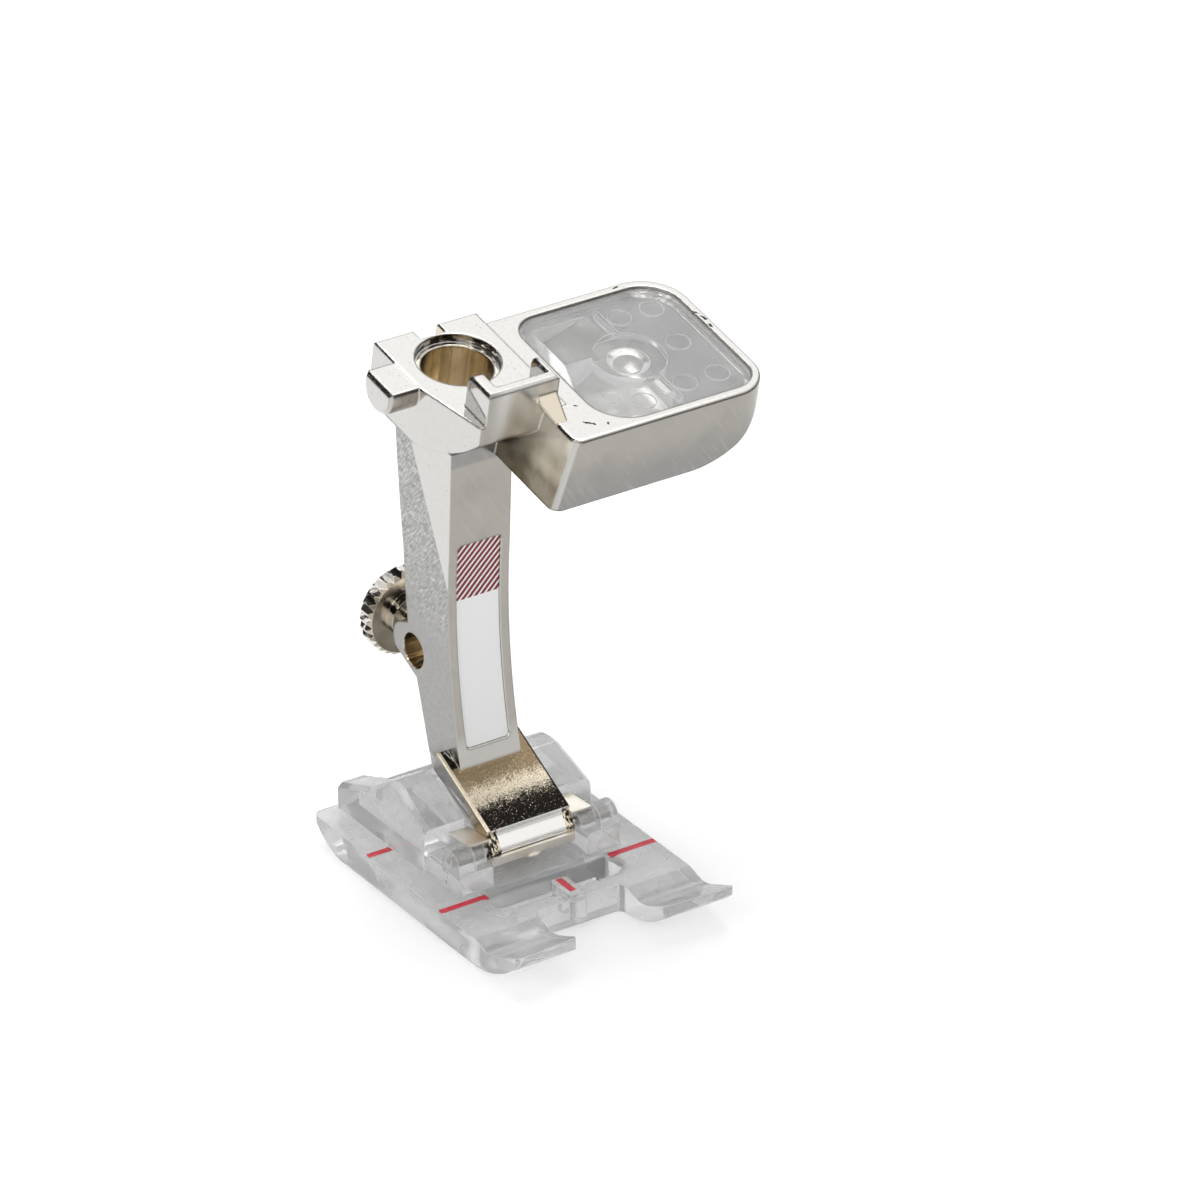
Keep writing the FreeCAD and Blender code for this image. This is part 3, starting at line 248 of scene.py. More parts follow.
@dataclass(frozen=True)
class Grain:
    """Soft noise, drawn out and given contrast until it is clouds, specks, strokes or streaks.

    Attributes:
        scale: Features per unit of the vector.
        detail: Octaves.
        rough: Share that each octave keeps.
        stretch: Factor along each axis after the turn, or None where the noise is even.
        turn: Euler turn in degrees.
        band: Noise values at which the mask starts and ends.
        share: How strongly it is laid on.
    """

    scale: float
    detail: float = 2.0
    rough: float = 0.5
    stretch: Triple | None = None
    turn: Triple = (0.0, 0.0, 0.0)
    band: Step = (0.0, 1.0)
    share: float = 1.0

    def value(self, graph: Graph, where: Any) -> Number:
        """Noise from 0 to 1.

        Args:
            graph: The graph that gets the nodes.
            where: Vector socket.

        Returns:
            The noise value.
        """
        if self.stretch:
            where = graph.stretched(where, self.stretch, self.turn)
        inputs = {"Vector": where, "Scale": self.scale, "Detail": self.detail, "Roughness": self.rough}
        return Number(graph, graph.node("ShaderNodeTexNoise", {"noise_dimensions": "3D"}, inputs).outputs["Fac"])

    def mask(self, graph: Graph, where: Any) -> Number:
        """Noise pulled apart by the band, and weakened to its share."""
        return self.value(graph, where).over(*self.band) * self.share


@dataclass(frozen=True)
class Relief:
    """Rounded edges with a fine relief over the whole surface.

    Attributes:
        edge_mm: Radius of the edges.
        strength: Strength of the relief.
        depth_mm: Its depth.
    """

    edge_mm: float
    strength: float
    depth_mm: float

    def rounded(self, graph: Graph) -> bpy.types.NodeSocket:
        """Normal that runs smoothly round the sharp edges."""
        settings = {"samples": BEVEL_SAMPLES}
        return graph.node("ShaderNodeBevel", settings, {"Radius": self.edge_mm * MM}).outputs[0]

    def raised(self, graph: Graph, normal: Any, height: Number) -> bpy.types.NodeSocket:
        """Lay the relief over a normal.

        Args:
            graph: The material's graph.
            normal: Normal to start from.
            height: Height pattern from 0 to 1.

        Returns:
            The new normal's socket.
        """
        depth = self.depth_mm * MM
        inputs = {"Height": height, "Strength": self.strength, "Distance": depth, "Normal": normal}
        return graph.node("ShaderNodeBump", None, inputs).outputs[0]


@dataclass(frozen=True)
class ShankFrame:
    """Where the shank frame lies in the row frame.

    Attributes:
        origin: Hinge pin's centre in millimetres.
        lean: Forward lean in radians.
    """

    origin: Vector
    lean: float

    @classmethod
    def read(cls, frame: dict[str, Any]) -> "ShankFrame":
        """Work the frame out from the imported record's joint and socket mount.


        Returns:
            The shank frame.
        """
        hinge = next(joint for joint in frame["joints"] if joint["name"] == "sole_tilt")
        socket = next(mount for mount in frame["record"]["mounts"] if mount["name"] == "shank_socket")
        lean = math.atan2(-socket["axis"][1], socket["axis"][2])
        return cls(Vector(hinge["pos_m"]) / MM, lean)

    def coordinates(self, graph: Graph) -> bpy.types.NodeSocket:
        """Object coordinates in millimetres of the shank frame.

        Args:
            graph: The material's graph.

        Returns:
            The vector's socket.
        """
        back = Matrix.Rotation(-self.lean, 3, "X") @ self.origin
        mapping = graph.node("ShaderNodeMapping", {"vector_type": "POINT"}, {
            "Vector": graph.coordinates("Object"),
            "Location": -back,
            "Rotation": (-self.lean, 0.0, 0.0),
            "Scale": (1 / MM,) * 3,
        })
        return mapping.outputs[0]

    def facing(self, graph: Graph, normal: bpy.types.NodeSocket) -> tuple[Number, Number, Number]:
        """Directions that a surface looks to.

        Args:
            graph: The material's graph.
            normal: The surface's normal.

        Returns:
            Its shares to the left, forward and up in the shank frame.
        """
        inputs = {"Vector": normal, "Rotation": (-self.lean, 0.0, 0.0)}
        turned = graph.node("ShaderNodeMapping", {"vector_type": "VECTOR"}, inputs)
        across, rear, up = graph.axes(turned.outputs[0])
        return across * -1.0, rear * -1.0, up


def new_material(name: str) -> tuple[bpy.types.Material, Graph]:
    """Start a material.

    Args:
        name: The material's name.

    Returns:
        The material and its empty graph.
    """
    material = bpy.data.materials.new(name)
    material.use_nodes = True
    return material, Graph(material.node_tree)


@dataclass(frozen=True)
class NickelTones:
    """Colours that the bright plate mirrors or wears."""

    plate: Colour = (0.665, 0.655, 0.63)
    # Painted white reflection on the nose's front strip.
    strip: Colour = (0.93, 0.92, 0.89)
    # Painted light on faces that look to the left.
    left: Colour = (0.68, 0.672, 0.652)
    # Painted dark reflection on faces that look forward, a darker tone of it low on the tub's front, and the tone
    # of its brush strokes.
    front: Colour = (0.40, 0.378, 0.345)
    front_low_reflection: Colour = (0.295, 0.291, 0.28)
    front_stroke_reflection: Colour = (0.4742, 0.45556, 0.4248)
    brushed: Colour = (0.82, 0.815, 0.80)
    brushed_dark: Colour = (0.29, 0.288, 0.28)
    flank: Colour = (0.35, 0.345, 0.335)
    brown: Colour = (0.195, 0.162, 0.112)
    brown_light: Colour = (0.80, 0.745, 0.64)
    scratch: Colour = (0.62, 0.60, 0.56)
    pin_side: Colour = (0.30, 0.255, 0.205)
    # Painted shade inside the tub.
    inside: Colour = (0.36, 0.35, 0.33)
    gusset: Colour = (0.80, 0.72, 0.585)
    # The bores' gold, lit, then in painted shade.
    gold: Colour = (0.88, 0.81, 0.68)
    shaded_gold: Colour = (0.45, 0.375, 0.265)
    # The ramp's painted reflection: gold, a light band and near black.
    ramp_gold_reflection: Colour = (0.30, 0.225, 0.135)
    ramp_light_reflection: Colour = (0.82, 0.73, 0.575)
    ramp_dark_reflection: Colour = (0.014, 0.012, 0.010)
    # Dark of the plating pits, and painted dark reflection on rounded edges and round the socket's mouth.
    edge_dark: Colour = (0.022, 0.018, 0.015)


@dataclass(frozen=True)
class Site:
    """Links that tell a zone where a point of the casting lies and where it looks to.

    Attributes:
        graph: The material's graph.
        where: Shank coordinates in millimetres.
        flat: Left, forward and up shares of the flat faces.
        rounded: The same of the surface with its edges rounded.
    """

    graph: Graph
    where: Any
    flat: tuple[Number, Number, Number]
    rounded: tuple[Number, Number, Number]


@dataclass(frozen=True)
class Coat:
    """What is laid on the plate so far.

    Attributes:
        colour: Its colour.
        heights: Height patterns for the bump.
        roughs: Shares of its roughness.
    """

    colour: Any
    heights: tuple[Number, ...] = ()
    roughs: tuple[Number, ...] = ()

    def laid(self, site: Site, share: Number, colour: Any, height: Number | None = None,
             rough: Number | None = None) -> "Coat":
        """Lay one more look over a part of the plate.

        Args:
            site: Links of the casting's graph.
            share: Mask of the part.
            colour: The part's colour.
            height: Its height pattern, where it has one.
            rough: Its added roughness, where it has one.

        Returns:
            The new coat.
        """
        heights = self.heights if height is None else (*self.heights, height)
        roughs = self.roughs if rough is None else (*self.roughs, rough)
        return Coat(site.graph.mix(share, self.colour, colour), heights, roughs)


@dataclass(frozen=True)
class Zone:
    """A part of the casting with a look of its own. Places are millimetres of the shank frame.

    A field that ends in x, y or z, or names a place, says over which places a mask runs from 0 to 1. One that
    ends in share, left, forward or up says over which shares of that direction it does. One that ends in light,
    gold or dark says how far a tone moves, and satin is added roughness.
    """

    tones: NickelTones = NickelTones()

    def lay(self, site: Site, coat: Coat) -> Coat:
        """Lay the zone's look over the coat that is on the plate so far."""
        raise NotImplementedError


@dataclass(frozen=True)
class PlainFaces(Zone):
    """Plain plate, a little lighter to the left as painted light, with faint dull clouds and dark dots."""

    left_share: Step = (0.6, 0.9)
    dull: Grain = Grain(2.4, 3.0, 0.6, band=(0.42, 0.7), share=0.05)
    dots: Grain = Grain(4.2, 1.0, band=(0.735, 0.765), share=0.6)

    def lay(self, site: Site, coat: Coat) -> Coat:
        """Lay the plain plate.

        Args:
            site: Links that tell where a point lies.
            coat: What is on the plate so far.

        Returns:
            The plate with this zone.
        """
        leftward, _, _ = site.flat
        marks = added([grain.mask(site.graph, site.where) for grain in (self.dull, self.dots)])
        # Painted light: faces that look to the left turn a little lighter.
        coat = coat.laid(site, leftward.over(*self.left_share), self.tones.left)
        return coat.laid(site, marks.at_most(1.0), self.tones.brown)


@dataclass(frozen=True)
class FrontFacesReflection(Zone):
    """Faces that look forward, satin, in a painted dark reflection that is darker low on the tub's front and
    lighter, as painted light, towards the column's foot and beside the clamp, with faint slanting brush lines.
    """

    front_share: Step = (0.35, 0.75)
    above_nose: Step = (2.0, 2.5)
    head_fall: Step = (36.0, 31.0)
    head_end: Step = (30.2, 30.6)
    foot: Step = (6.5, 4.5)
    foot_light: float = 0.5
    clamp_x: Step = (-2.9, -1.0)
    clamp_y: Band = (8.5, 9.3, 0.2)
    clamp_z: Step = (33.0, 34.0)
    clamp_light: float = 0.85
    strokes: Grain = Grain(1.0, 3.0, 0.6, (2.4, 1.0, 0.22), (0.0, 34.0, 0.0), (0.50, 0.74), 0.3)
    cloud: Grain = Grain(0.3, band=(0.45, 0.8), share=0.4)
    satin: float = 0.12

    def lay(self, site: Site, coat: Coat) -> Coat:
        """Tone the fronts.

        Args:
            site: Links that tell where a point lies.
            coat: What is on the plate so far.

        Returns:
            The plate with this zone.
        """
        graph, tones = site.graph, self.tones
        _, forward, _ = site.flat
        x, y, z = graph.axes(site.where)
        # Painted dark reflection: faces that look forward, above the nose, turn darker, darker still low on the
        # tub's front and in clouds.
        front = forward.over(*self.front_share) * z.over(*self.above_nose)
        low = z.over(*self.head_fall) * z.over(*self.head_end) + self.cloud.mask(graph, site.where)
        tone = graph.mix(low.at_most(1.0), tones.front, tones.front_low_reflection)
        tone = graph.mix(self.strokes.mask(graph, site.where), tone, tones.front_stroke_reflection)
        # Painted light: lighter towards the column's foot and beside the clamp.
        tone = graph.mix(z.over(*self.foot) * self.foot_light, tone, tones.plate)
        clamp = y.within(*self.clamp_y) * x.over(*self.clamp_x) * z.over(*self.clamp_z)
        tone = graph.mix(clamp * self.clamp_light, tone, tones.plate)
        return coat.laid(site, front, tone, rough=front * self.satin)


@dataclass(frozen=True)
class ColumnFlank(Zone):
    """The column's left flank: smooth at the foot, scratched by a coarse belt above."""

    left_share: Step = (0.80, 0.93)
    turned_away: Step = (0.075, 0.035)
    outside: Step = (-2.7, -2.8)
    reach: Band = (2.2, 31.85, 0.3)
    upper: Step = (12.0, 17.0)
    steep: Grain = Grain(1.0, 4.0, 0.75, (4.0, 13.0, 1.1), (-32.0, 0.0, 0.0), (0.47, 0.56), 0.6)
    level: Grain = Grain(1.0, 4.0, 0.75, (4.0, 1.1, 14.0), (-14.0, 0.0, 0.0), (0.49, 0.58), 0.4)
    bloom: Grain = Grain(2.6, 3.0, band=(0.3, 0.7), share=0.08)
    depth: float = 1.2
    satin: float = 0.16
    upper_satin: float = 0.08

    def lay(self, site: Site, coat: Coat) -> Coat:
        """Scratch the flank.

        Args:
            site: Links that tell where a point lies.
            coat: What is on the plate so far.

        Returns:
            The plate with this zone.
        """
        graph, tones = site.graph, self.tones
        leftward, forward, _ = site.flat
        x, _, z = graph.axes(site.where)
        flank = leftward.over(*self.left_share) * x.over(*self.outside) * z.within(*self.reach)
        flank = flank * forward.over(*self.turned_away)
        upper = flank * z.over(*self.upper)
        strokes = self.steep.mask(graph, site.where) + self.level.mask(graph, site.where)
        grey = graph.mix(strokes, tones.brushed_dark, tones.brushed)
        smooth = graph.mix(self.bloom.mask(graph, site.where), tones.flank, tones.brushed)
        tone = graph.mix(upper, smooth, grey)
        rough = flank * self.satin + upper * self.upper_satin
        return coat.laid(site, flank, tone, height=strokes * upper * self.depth, rough=rough)


@dataclass(frozen=True)
class TubWall(Zone):
    """The tub's brown left wall, lit at its top and beside the gusset, with scratches and specks."""

    left_share: Step = (0.80, 0.93)
    across: Band = (0.9, 2.95, 0.2)
    reach: Band = (30.0, 37.3, 0.3)
    lit: Step = (34.0, 36.8)
    lit_light: float = 0.6
    near_x: Step = (2.5, 1.3)
    near_z: Step = (32.3, 34.0)
    near_gold: float = 0.9
    patch: Grain = Grain(0.5, band=(0.4, 0.65), share=0.15)
    streak: Grain = Grain(1.0, 4.0, 0.7, (1.0, 9.0, 0.7), (14.0, 0.0, 0.0), (0.62, 0.70), 0.4)
    specks: Grain = Grain(7.0, 2.0, 0.6, band=(0.66, 0.72), share=0.6)
    satin: float = 0.14

    def lay(self, site: Site, coat: Coat) -> Coat:
        """Tone the wall.

        Args:
            site: Links that tell where a point lies.
            coat: What is on the plate so far.

        Returns:
            The plate with this zone.
        """
        graph, tones = site.graph, self.tones
        leftward, _, _ = site.flat
        x, _, z = graph.axes(site.where)
        wall = leftward.over(*self.left_share) * x.within(*self.across) * z.within(*self.reach)
        light = self.patch.mask(graph, site.where) + z.over(*self.lit) * self.lit_light
        tone = graph.mix(light, tones.brown, tones.brown_light)
        near = x.over(*self.near_x) * z.over(*self.near_z) * self.near_gold
        tone = graph.mix(near, tone, tones.gusset)
        marks = self.streak.mask(graph, site.where) + self.specks.mask(graph, site.where)
        return coat.laid(site, wall, graph.mix(marks, tone, tones.scratch), rough=wall * self.satin)


@dataclass(frozen=True)
class SmallFaces(Zone):
    """The clamp pin's side, the gusset and the inside of the tub, darker there as painted shade."""

    patch: Grain = Grain(1.3, band=(0.35, 0.6), share=0.6)
    pin_x: Step = (-5.0, -5.1)
    pin_left: Step = (0.6, 0.3)
    pin_forward: Step = (0.2, 0.6)
    gusset_x: Band = (1.85, 3.7, 0.05)
    gusset_y: Band = (7.0, 8.93, 0.04)
    gusset_z: Step = (37.4, 37.45)
    gusset_up: Step = (0.95, 0.8)
    tub_x: Step = (7.0, 7.3)
    tub_x_end: Step = (21.5, 21.3)
    tub_y: Band = (5.55, 20.0, 0.05)
    tub_z: Band = (31.6, 36.0, 0.1)
    tub_top: Step = (36.0, 35.8)
    tub_up: Step = (0.6, 0.9)

    def lay(self, site: Site, coat: Coat) -> Coat:
        """Tone the three parts.

        Args:
            site: Links that tell where a point lies.
            coat: What is on the plate so far.

        Returns:
            The plate with this zone.
        """
        graph, tones = site.graph, self.tones
        leftward, forward, up = site.flat
        x, y, z = graph.axes(site.where)
        patch = self.patch.value(graph, site.where)
        pin = x.over(*self.pin_x) * leftward.over(*self.pin_left) * forward.over(*self.pin_forward)
        side = graph.mix(patch.over(*self.patch.band) * self.patch.share, tones.pin_side, tones.front)
        gusset = x.within(*self.gusset_x) * y.within(*self.gusset_y) * z.over(*self.gusset_z)
        tub = x.over(*self.tub_x) * z.over(*self.tub_top) * (up.over(*self.tub_up) + z.within(*self.tub_z))
        tub = tub * y.within(*self.tub_y) * x.over(*self.tub_x_end)
        coat = coat.laid(site, pin, side).laid(site, gusset * up.over(*self.gusset_up), tones.gusset)
        # Painted shade: the tub's floor and inner walls are darker, in patches.
        return coat.laid(site, tub.at_most(1.0), graph.mix(patch, tones.inside, tones.plate))


@dataclass(frozen=True)
class Ramp(Zone):
    """The grainy ramp, a painted reflection from gold through a light band to near black above the nose."""

    slope: float = 0.28
    above: Step = (1.75, 1.62)
    below: Step = (1.2, 1.35)
    up_share: Step = (0.5, 0.8)
    rear_end: Step = (8.85, 8.75)
    front_end: Step = (0.3, 0.4)
    band_start: Step = (4.8, 4.2)
    band_end: Step = (3.2, 2.8)
    grain: Grain = Grain(9.0, 4.0, 0.8, share=7.0)
    coarse: Grain = Grain(1.2, share=1.2)
    fine: Grain = Grain(7.0, 2.0, 0.6)
    light_specks: Step = (0.63, 0.69)
    light_share: float = 0.7
    dark_specks: Step = (0.38, 0.31)
    dark_share: float = 0.6
    corner_x: Step = (-3.0, -3.1)
    corner_y: Step = (6.7, 6.9)
    lines: Grain = Grain(1.0, 3.0, 0.6, (3.2, 0.8, 1.0), band=(0.54, 0.62))
    left_edge: Step = (-3.68, -3.78)
    right_edge: Step = (3.92, 4.0)
    side_share: Step = (0.8, 0.95)
    side_x: Step = (-4.0, -4.05)
    side_z: Step = (4.4, 4.2)
    side_y: Step = (4.5, 1.5)
    depth: float = 1.5
    satin: float = 0.10

    def lay(self, site: Site, coat: Coat) -> Coat:
        """Grade the ramp and the nose's side.

        Args:
            site: Links that tell where a point lies.
            coat: What is on the plate so far.

        Returns:
            The plate with this zone.
        """
        graph, tones = site.graph, self.tones
        leftward, _, up = site.flat
        x, y, z = graph.axes(site.where)
        grain, coarse, fine = (noise.value(graph, site.where) for noise in (self.grain, self.coarse, self.fine))
        line = z - y * self.slope
        ramp = line.over(*self.above) * line.over(*self.below) * up.over(*self.up_share)
        ramp = ramp * y.over(*self.rear_end) * y.over(*self.front_end)
        # Painted reflection: from gold at the rear through a light band to near black at the front, broken up by
        # grain and specks.
        place = y + (grain - 0.5) * self.grain.share + (coarse - 0.5) * self.coarse.share
        tone = graph.mix(place.over(*self.band_start), tones.ramp_gold_reflection, tones.ramp_light_reflection)
        tone = graph.mix(place.over(*self.band_end), tone, tones.ramp_dark_reflection)
        tone = graph.mix(fine.over(*self.light_specks) * self.light_share, tone, tones.ramp_light_reflection)
        tone = graph.mix(fine.over(*self.dark_specks) * self.dark_share, tone, tones.ramp_dark_reflection)
        # Painted shade: dark streaks in the recess at the ramp's rear left corner.
        streaked = graph.mix(self.lines.mask(graph, site.where), tones.ramp_dark_reflection, tones.plate)
        tone = graph.mix(x.over(*self.corner_x) * y.over(*self.corner_y), tone, streaked)
        # Painted highlight along the ramp's left edge, painted dark reflection along its right edge.
        tone = graph.mix(x.over(*self.left_edge), tone, tones.ramp_light_reflection)
        tone = graph.mix(x.over(*self.right_edge), tone, tones.ramp_dark_reflection)
        # The nose's left side takes the ramp's dark gold painted reflection.
        side = leftward.over(*self.side_share) * x.over(*self.side_x) * z.over(*self.side_z)
        coat = coat.laid(site, side * y.over(*self.side_y), tones.ramp_gold_reflection)
        return coat.laid(site, ramp, tone, height=grain * ramp * self.depth, rough=ramp * self.satin)


@dataclass(frozen=True)
class Bores(Zone):
    """The golden socket and the golden cross hole, streaked along their walls between lit gold and gold in painted
    shade, with the socket's floor in painted shade and a broken painted dark reflection round its mouth.
    """

    socket_y: float = 17.86
    socket_reach: Step = (3.4, 3.32)
    socket_low: Step = (30.2, 30.6)
    socket_top: Step = (36.72, 36.66)
    floor: Step = (31.42, 31.52)
    mouth: Band = (3.54, 3.66, 0.02)
    mouth_z: Band = (36.72, 37.36, 0.04)
    cross_y: float = 15.1
    cross_z: float = 10.0
    cross_reach: Step = (1.66, 1.62)
    streaks: Grain = Grain(4.6, 3.0, 0.7, band=(0.34, 0.54))
    blots: Grain = Grain(1.1, 3.0, 0.6, (1.0, 1.0, 3.0), band=(0.40, 0.50))
    cross_streaks: Grain = Grain(7.0, 3.0, 0.7, band=(0.46, 0.58))

    def _round(self, side: Number, height: Number) -> tuple[Number, bpy.types.NodeSocket]:
        """Distance from a bore's line, and the angle round it as a vector."""
        reach = (height * height + side * side).root()
        return reach, side.graph.node("ShaderNodeCombineXYZ", None, {0: side.angle_to(height)}).outputs[0]

    def lay(self, site: Site, coat: Coat) -> Coat:
        """Turn the bores golden.

        Args:
            site: Links that tell where a point lies.
            coat: What is on the plate so far.

        Returns:
            The plate with this zone.
        """
        graph, tones = site.graph, self.tones
        x, y, z = graph.axes(site.where)
        reach, turn = self._round(y - self.socket_y, x)
        socket = reach.over(*self.socket_reach) * z.over(*self.socket_low) * z.over(*self.socket_top)
        # Lit gold and its painted shade: the socket's walls are streaked between them, its floor stays in painted
        # shade.
        walls = self.streaks.mask(graph, turn) * z.over(*self.floor)
        coat = coat.laid(site, socket, graph.mix(walls, tones.shaded_gold, tones.gold))
        # Painted dark reflection, broken up, round the socket's mouth.
        mouth = reach.within(*self.mouth) * z.within(*self.mouth_z)
        coat = coat.laid(site, mouth * self.blots.mask(graph, site.where), tones.edge_dark)
        # The cross hole is streaked between the same painted shade and lit gold.
        cross, cross_turn = self._round(y - self.cross_y, z - self.cross_z)
        streaked = graph.mix(self.cross_streaks.mask(graph, cross_turn), tones.shaded_gold, tones.gold)
        return coat.laid(site, cross.over(*self.cross_reach), streaked)


@dataclass(frozen=True)
class Edges(Zone):
    """Rounded edges that mirror the dark part of the room, broken up by specks."""

    head: Step = (30.0, 31.0)
    speckle: Grain = Grain(6.0, 3.0, 0.7)
    left: tuple[Step, Step, Step] = ((0.20, 0.30), (0.22, 0.32), (0.5, 0.3))
    left_broken: Step = (0.70, 0.60)
    front: tuple[Step, Step, Step] = ((0.5, 0.3), (0.16, 0.30), (0.77, 0.84))
    rear: Step = (-0.15, -0.4)
    rear_up: Band = (0.4, 0.86, 0.1)
    rear_broken: Step = (0.60, 0.50)
    rear_dark: float = 0.85
    corner_left: Band = (0.55, 0.75, 0.06)
    corner_forward: Step = (0.5, 0.6)
    corner_light: float = 0.6

    def lay(self, site: Site, coat: Coat) -> Coat:
        """Draw the edge lines.

        Args:
            site: Links that tell where a point lies.
            coat: What is on the plate so far.

        Returns:
            The plate with this zone.
        """
        graph, dark = site.graph, self.tones.edge_dark
        leftward, forward, up = site.rounded
        _, _, z = graph.axes(site.where)
        head = z.over(*self.head)
        speckle = self.speckle.value(graph, site.where)
        ways = (leftward, up, forward)
        left, front = (
            functools.reduce(operator.mul, [way.over(*step) for way, step in zip(ways, steps)])
            for steps in (self.left, self.front)
        )
        rear = (leftward.over(*self.rear) + forward.over(*self.rear)).at_most(1.0)
        rear = rear * up.within(*self.rear_up) * head * speckle.over(*self.rear_broken) * self.rear_dark
        coat = coat.laid(site, left * head * speckle.over(*self.left_broken), dark)
        coat = coat.laid(site, front * head, dark).laid(site, rear, dark)
        # Painted highlight: the rounded front-left corners turn back towards the plate.
        corner = leftward.within(*self.corner_left) * forward.over(*self.corner_forward) * self.corner_light
        return coat.laid(site, corner, self.tones.plate)


@dataclass(frozen=True)
class Pit:
    """A long pit in plan, in millimetres of the shank frame.

    Attributes:
        x: Place across.
        y: Place to the rear.
        length: Half length.
        width: Half width.
        turn: Direction in degrees from +X.
        edge: Share of its half size over which it fades in.
    """

    x: float
    y: float
    length: float
    width: float
    turn: float
    edge: Step = (1.0, 0.8)

    def mask(self, x: Number, y: Number, ragged: Number) -> Number:
        """Mask that is 1 inside the pit.

        Args:
            x: Place across.
            y: Place to the rear.
            ragged: Noise that makes the outline uneven.

        Returns:
            The mask.
        """
        along_x, along_y = math.cos(math.radians(self.turn)), math.sin(math.radians(self.turn))
        away_x, away_y = x - self.x, y - self.y
        along = (away_x * along_x + away_y * along_y) / self.length
        aside = (away_y * along_x - away_x * along_y) / self.width
        away = (along * along + aside * aside).root() + ragged
        return away.over(*self.edge)


class PlatingPit(Enum):
    """Pits in the plating of the tub's rim and arm."""

    RIM_LONG = Pit(22.05, 14.3, 0.42, 0.15, 100.0)
    RIM_SHORT = Pit(21.95, 13.2, 0.32, 0.14, 80.0)
    RIM_EDGE = Pit(21.85, 15.2, 0.3, 0.1, 120.0)
    ARM_LONG = Pit(5.1, 6.1, 0.5, 0.13, -40.0)
    ARM_TAIL = Pit(5.5, 5.75, 0.22, 0.12, -75.0)
    ARM_SHORT = Pit(5.45, 8.5, 0.22, 0.1, -30.0)
    ARM_RUST = Pit(6.6, 5.35, 0.2, 0.13, 60.0)
    REAR = Pit(17.6, 21.0, 0.35, 0.12, 10.0)


@dataclass(frozen=True)
class Pits(Zone):
    """Pits in the plating of the upper faces."""

    top: Step = (36.9, 37.1)
    ragged: Grain = Grain(5.0, 3.0, 0.7, share=2.4)

    def lay(self, site: Site, coat: Coat) -> Coat:
        """Draw the pits.

        Args:
            site: Links that tell where a point lies.
            coat: What is on the plate so far.

        Returns:
            The plate with this zone.
        """
        x, y, z = site.graph.axes(site.where)
        ragged = (self.ragged.value(site.graph, site.where) - 0.5) * self.ragged.share
        total = added([pit.value.mask(x, y, ragged) for pit in PlatingPit])
        return coat.laid(site, total.at_most(1.0) * z.over(*self.top), self.tones.edge_dark)


@dataclass(frozen=True)
class NoseStrip(Zone):
    """The nose's satin front below the ramp, a painted white reflection between two dark golden ends in the ramp's
    painted reflections.
    """

    front: Step = (0.35, 0.25)
    top: Step = (2.6, 2.4)
    across: Band = (-3.15, 3.3, 0.05)
    blots: Grain = Grain(1.6, 2.0, 0.6, (2.2, 1.0, 1.0), band=(0.44, 0.56))
    satin: float = 0.16

    def lay(self, site: Site, coat: Coat) -> Coat:
        """Tone the strip.

        Args:
            site: Links that tell where a point lies.
            coat: What is on the plate so far.

        Returns:
            The plate with this zone.
        """
        graph, tones = site.graph, self.tones
        x, y, z = graph.axes(site.where)
        # Painted white reflection across the strip's middle, between ends in the ramp's painted dark and light
        # reflections.
        ends = graph.mix(self.blots.mask(graph, site.where), tones.ramp_dark_reflection, tones.ramp_light_reflection)
        strip = y.over(*self.front) * z.over(*self.top)
        tone = graph.mix(x.within(*self.across), ends, tones.strip)
        return coat.laid(site, strip, tone, rough=strip * self.satin)


@dataclass(frozen=True)
class NickelCasting:
    """Bright nickel plate over a die casting, toned zone by zone."""

    shank: ShankFrame
    tones: NickelTones = NickelTones()
    relief: Relief = Relief(0.32, 0.35, 0.06)
    polish: float = 0.09
    peel: Grain = Grain(1.1, 1.0, share=0.12)

    def make(self) -> bpy.types.Material:
        """Build the material.

        Returns:
            The material.
        """
        material, graph = new_material("nickel_casting")
        where = self.shank.coordinates(graph)
        normal = self.relief.rounded(graph)
        flat, rounded = (self.shank.facing(graph, way) for way in (graph.coordinates("Normal"), normal))
        site, coat = Site(graph, where, flat, rounded), Coat(self.tones.plate)
        for zone in (PlainFaces, FrontFacesReflection, ColumnFlank, TubWall, SmallFaces, Ramp, Bores, Edges, Pits, NoseStrip):
            coat = zone(self.tones).lay(site, coat)
        heights = added([*coat.heights, self.peel.value(graph, where) * self.peel.share])
        graph.surface({
            "Base Color": coat.colour,
            "Metallic": 1.0,
            "Roughness": added(coat.roughs) + self.polish,
            "Normal": self.relief.raised(graph, normal, heights),
        })
        return material


@dataclass(frozen=True)
class TurnedSteel:
    """Plated steel turned on a lathe, with fine rings and facets that mirror light and dark."""

    name: str
    tone: Colour
    shade: Colour
    dark: Colour = (0.03, 0.026, 0.022)
    bright: Colour = (0.80, 0.78, 0.74)
    facets: float = 0.0
    rim: Step = (0.5, 0.2)
    rough: float = 0.16
    rings: Grain = Grain(1.6, 3.0, 0.6, (1.0, 6.0, 1.0), share=0.12)
    cloud: Grain = Grain(0.5, band=(0.3, 0.7))
    glints: Grain = Grain(2.6, 1.0)
    broken: Grain = Grain(1.7, share=0.5)
    contrast: Step = (0.77, 0.69)
    relief: Relief = Relief(0.07, 0.2, 0.03)

    def make(self) -> bpy.types.Material:
        """Build the material.

        Returns:
            The material.
        """
        material, graph = new_material(self.name)
        where = graph.millimetres()
        facing = graph.coordinates("Normal")
        rings = self.rings.value(graph, where)
        colour = graph.mix(self.cloud.mask(graph, where), self.tone, self.shade)
        _, rear, _ = graph.axes(facing)
        teeth = self.glints.value(graph, facing) + self.broken.value(graph, where) * self.broken.share
        rim = abs(rear).over(*self.rim) * self.facets
        graph.surface({
            "Base Color": graph.mix(rim, colour, graph.mix(teeth.over(*self.contrast), self.bright, self.dark)),
            "Metallic": 1.0,
            "Roughness": rings * self.rings.share + self.rough,
            "Normal": self.relief.raised(graph, self.relief.rounded(graph), rings),
        })
        return material


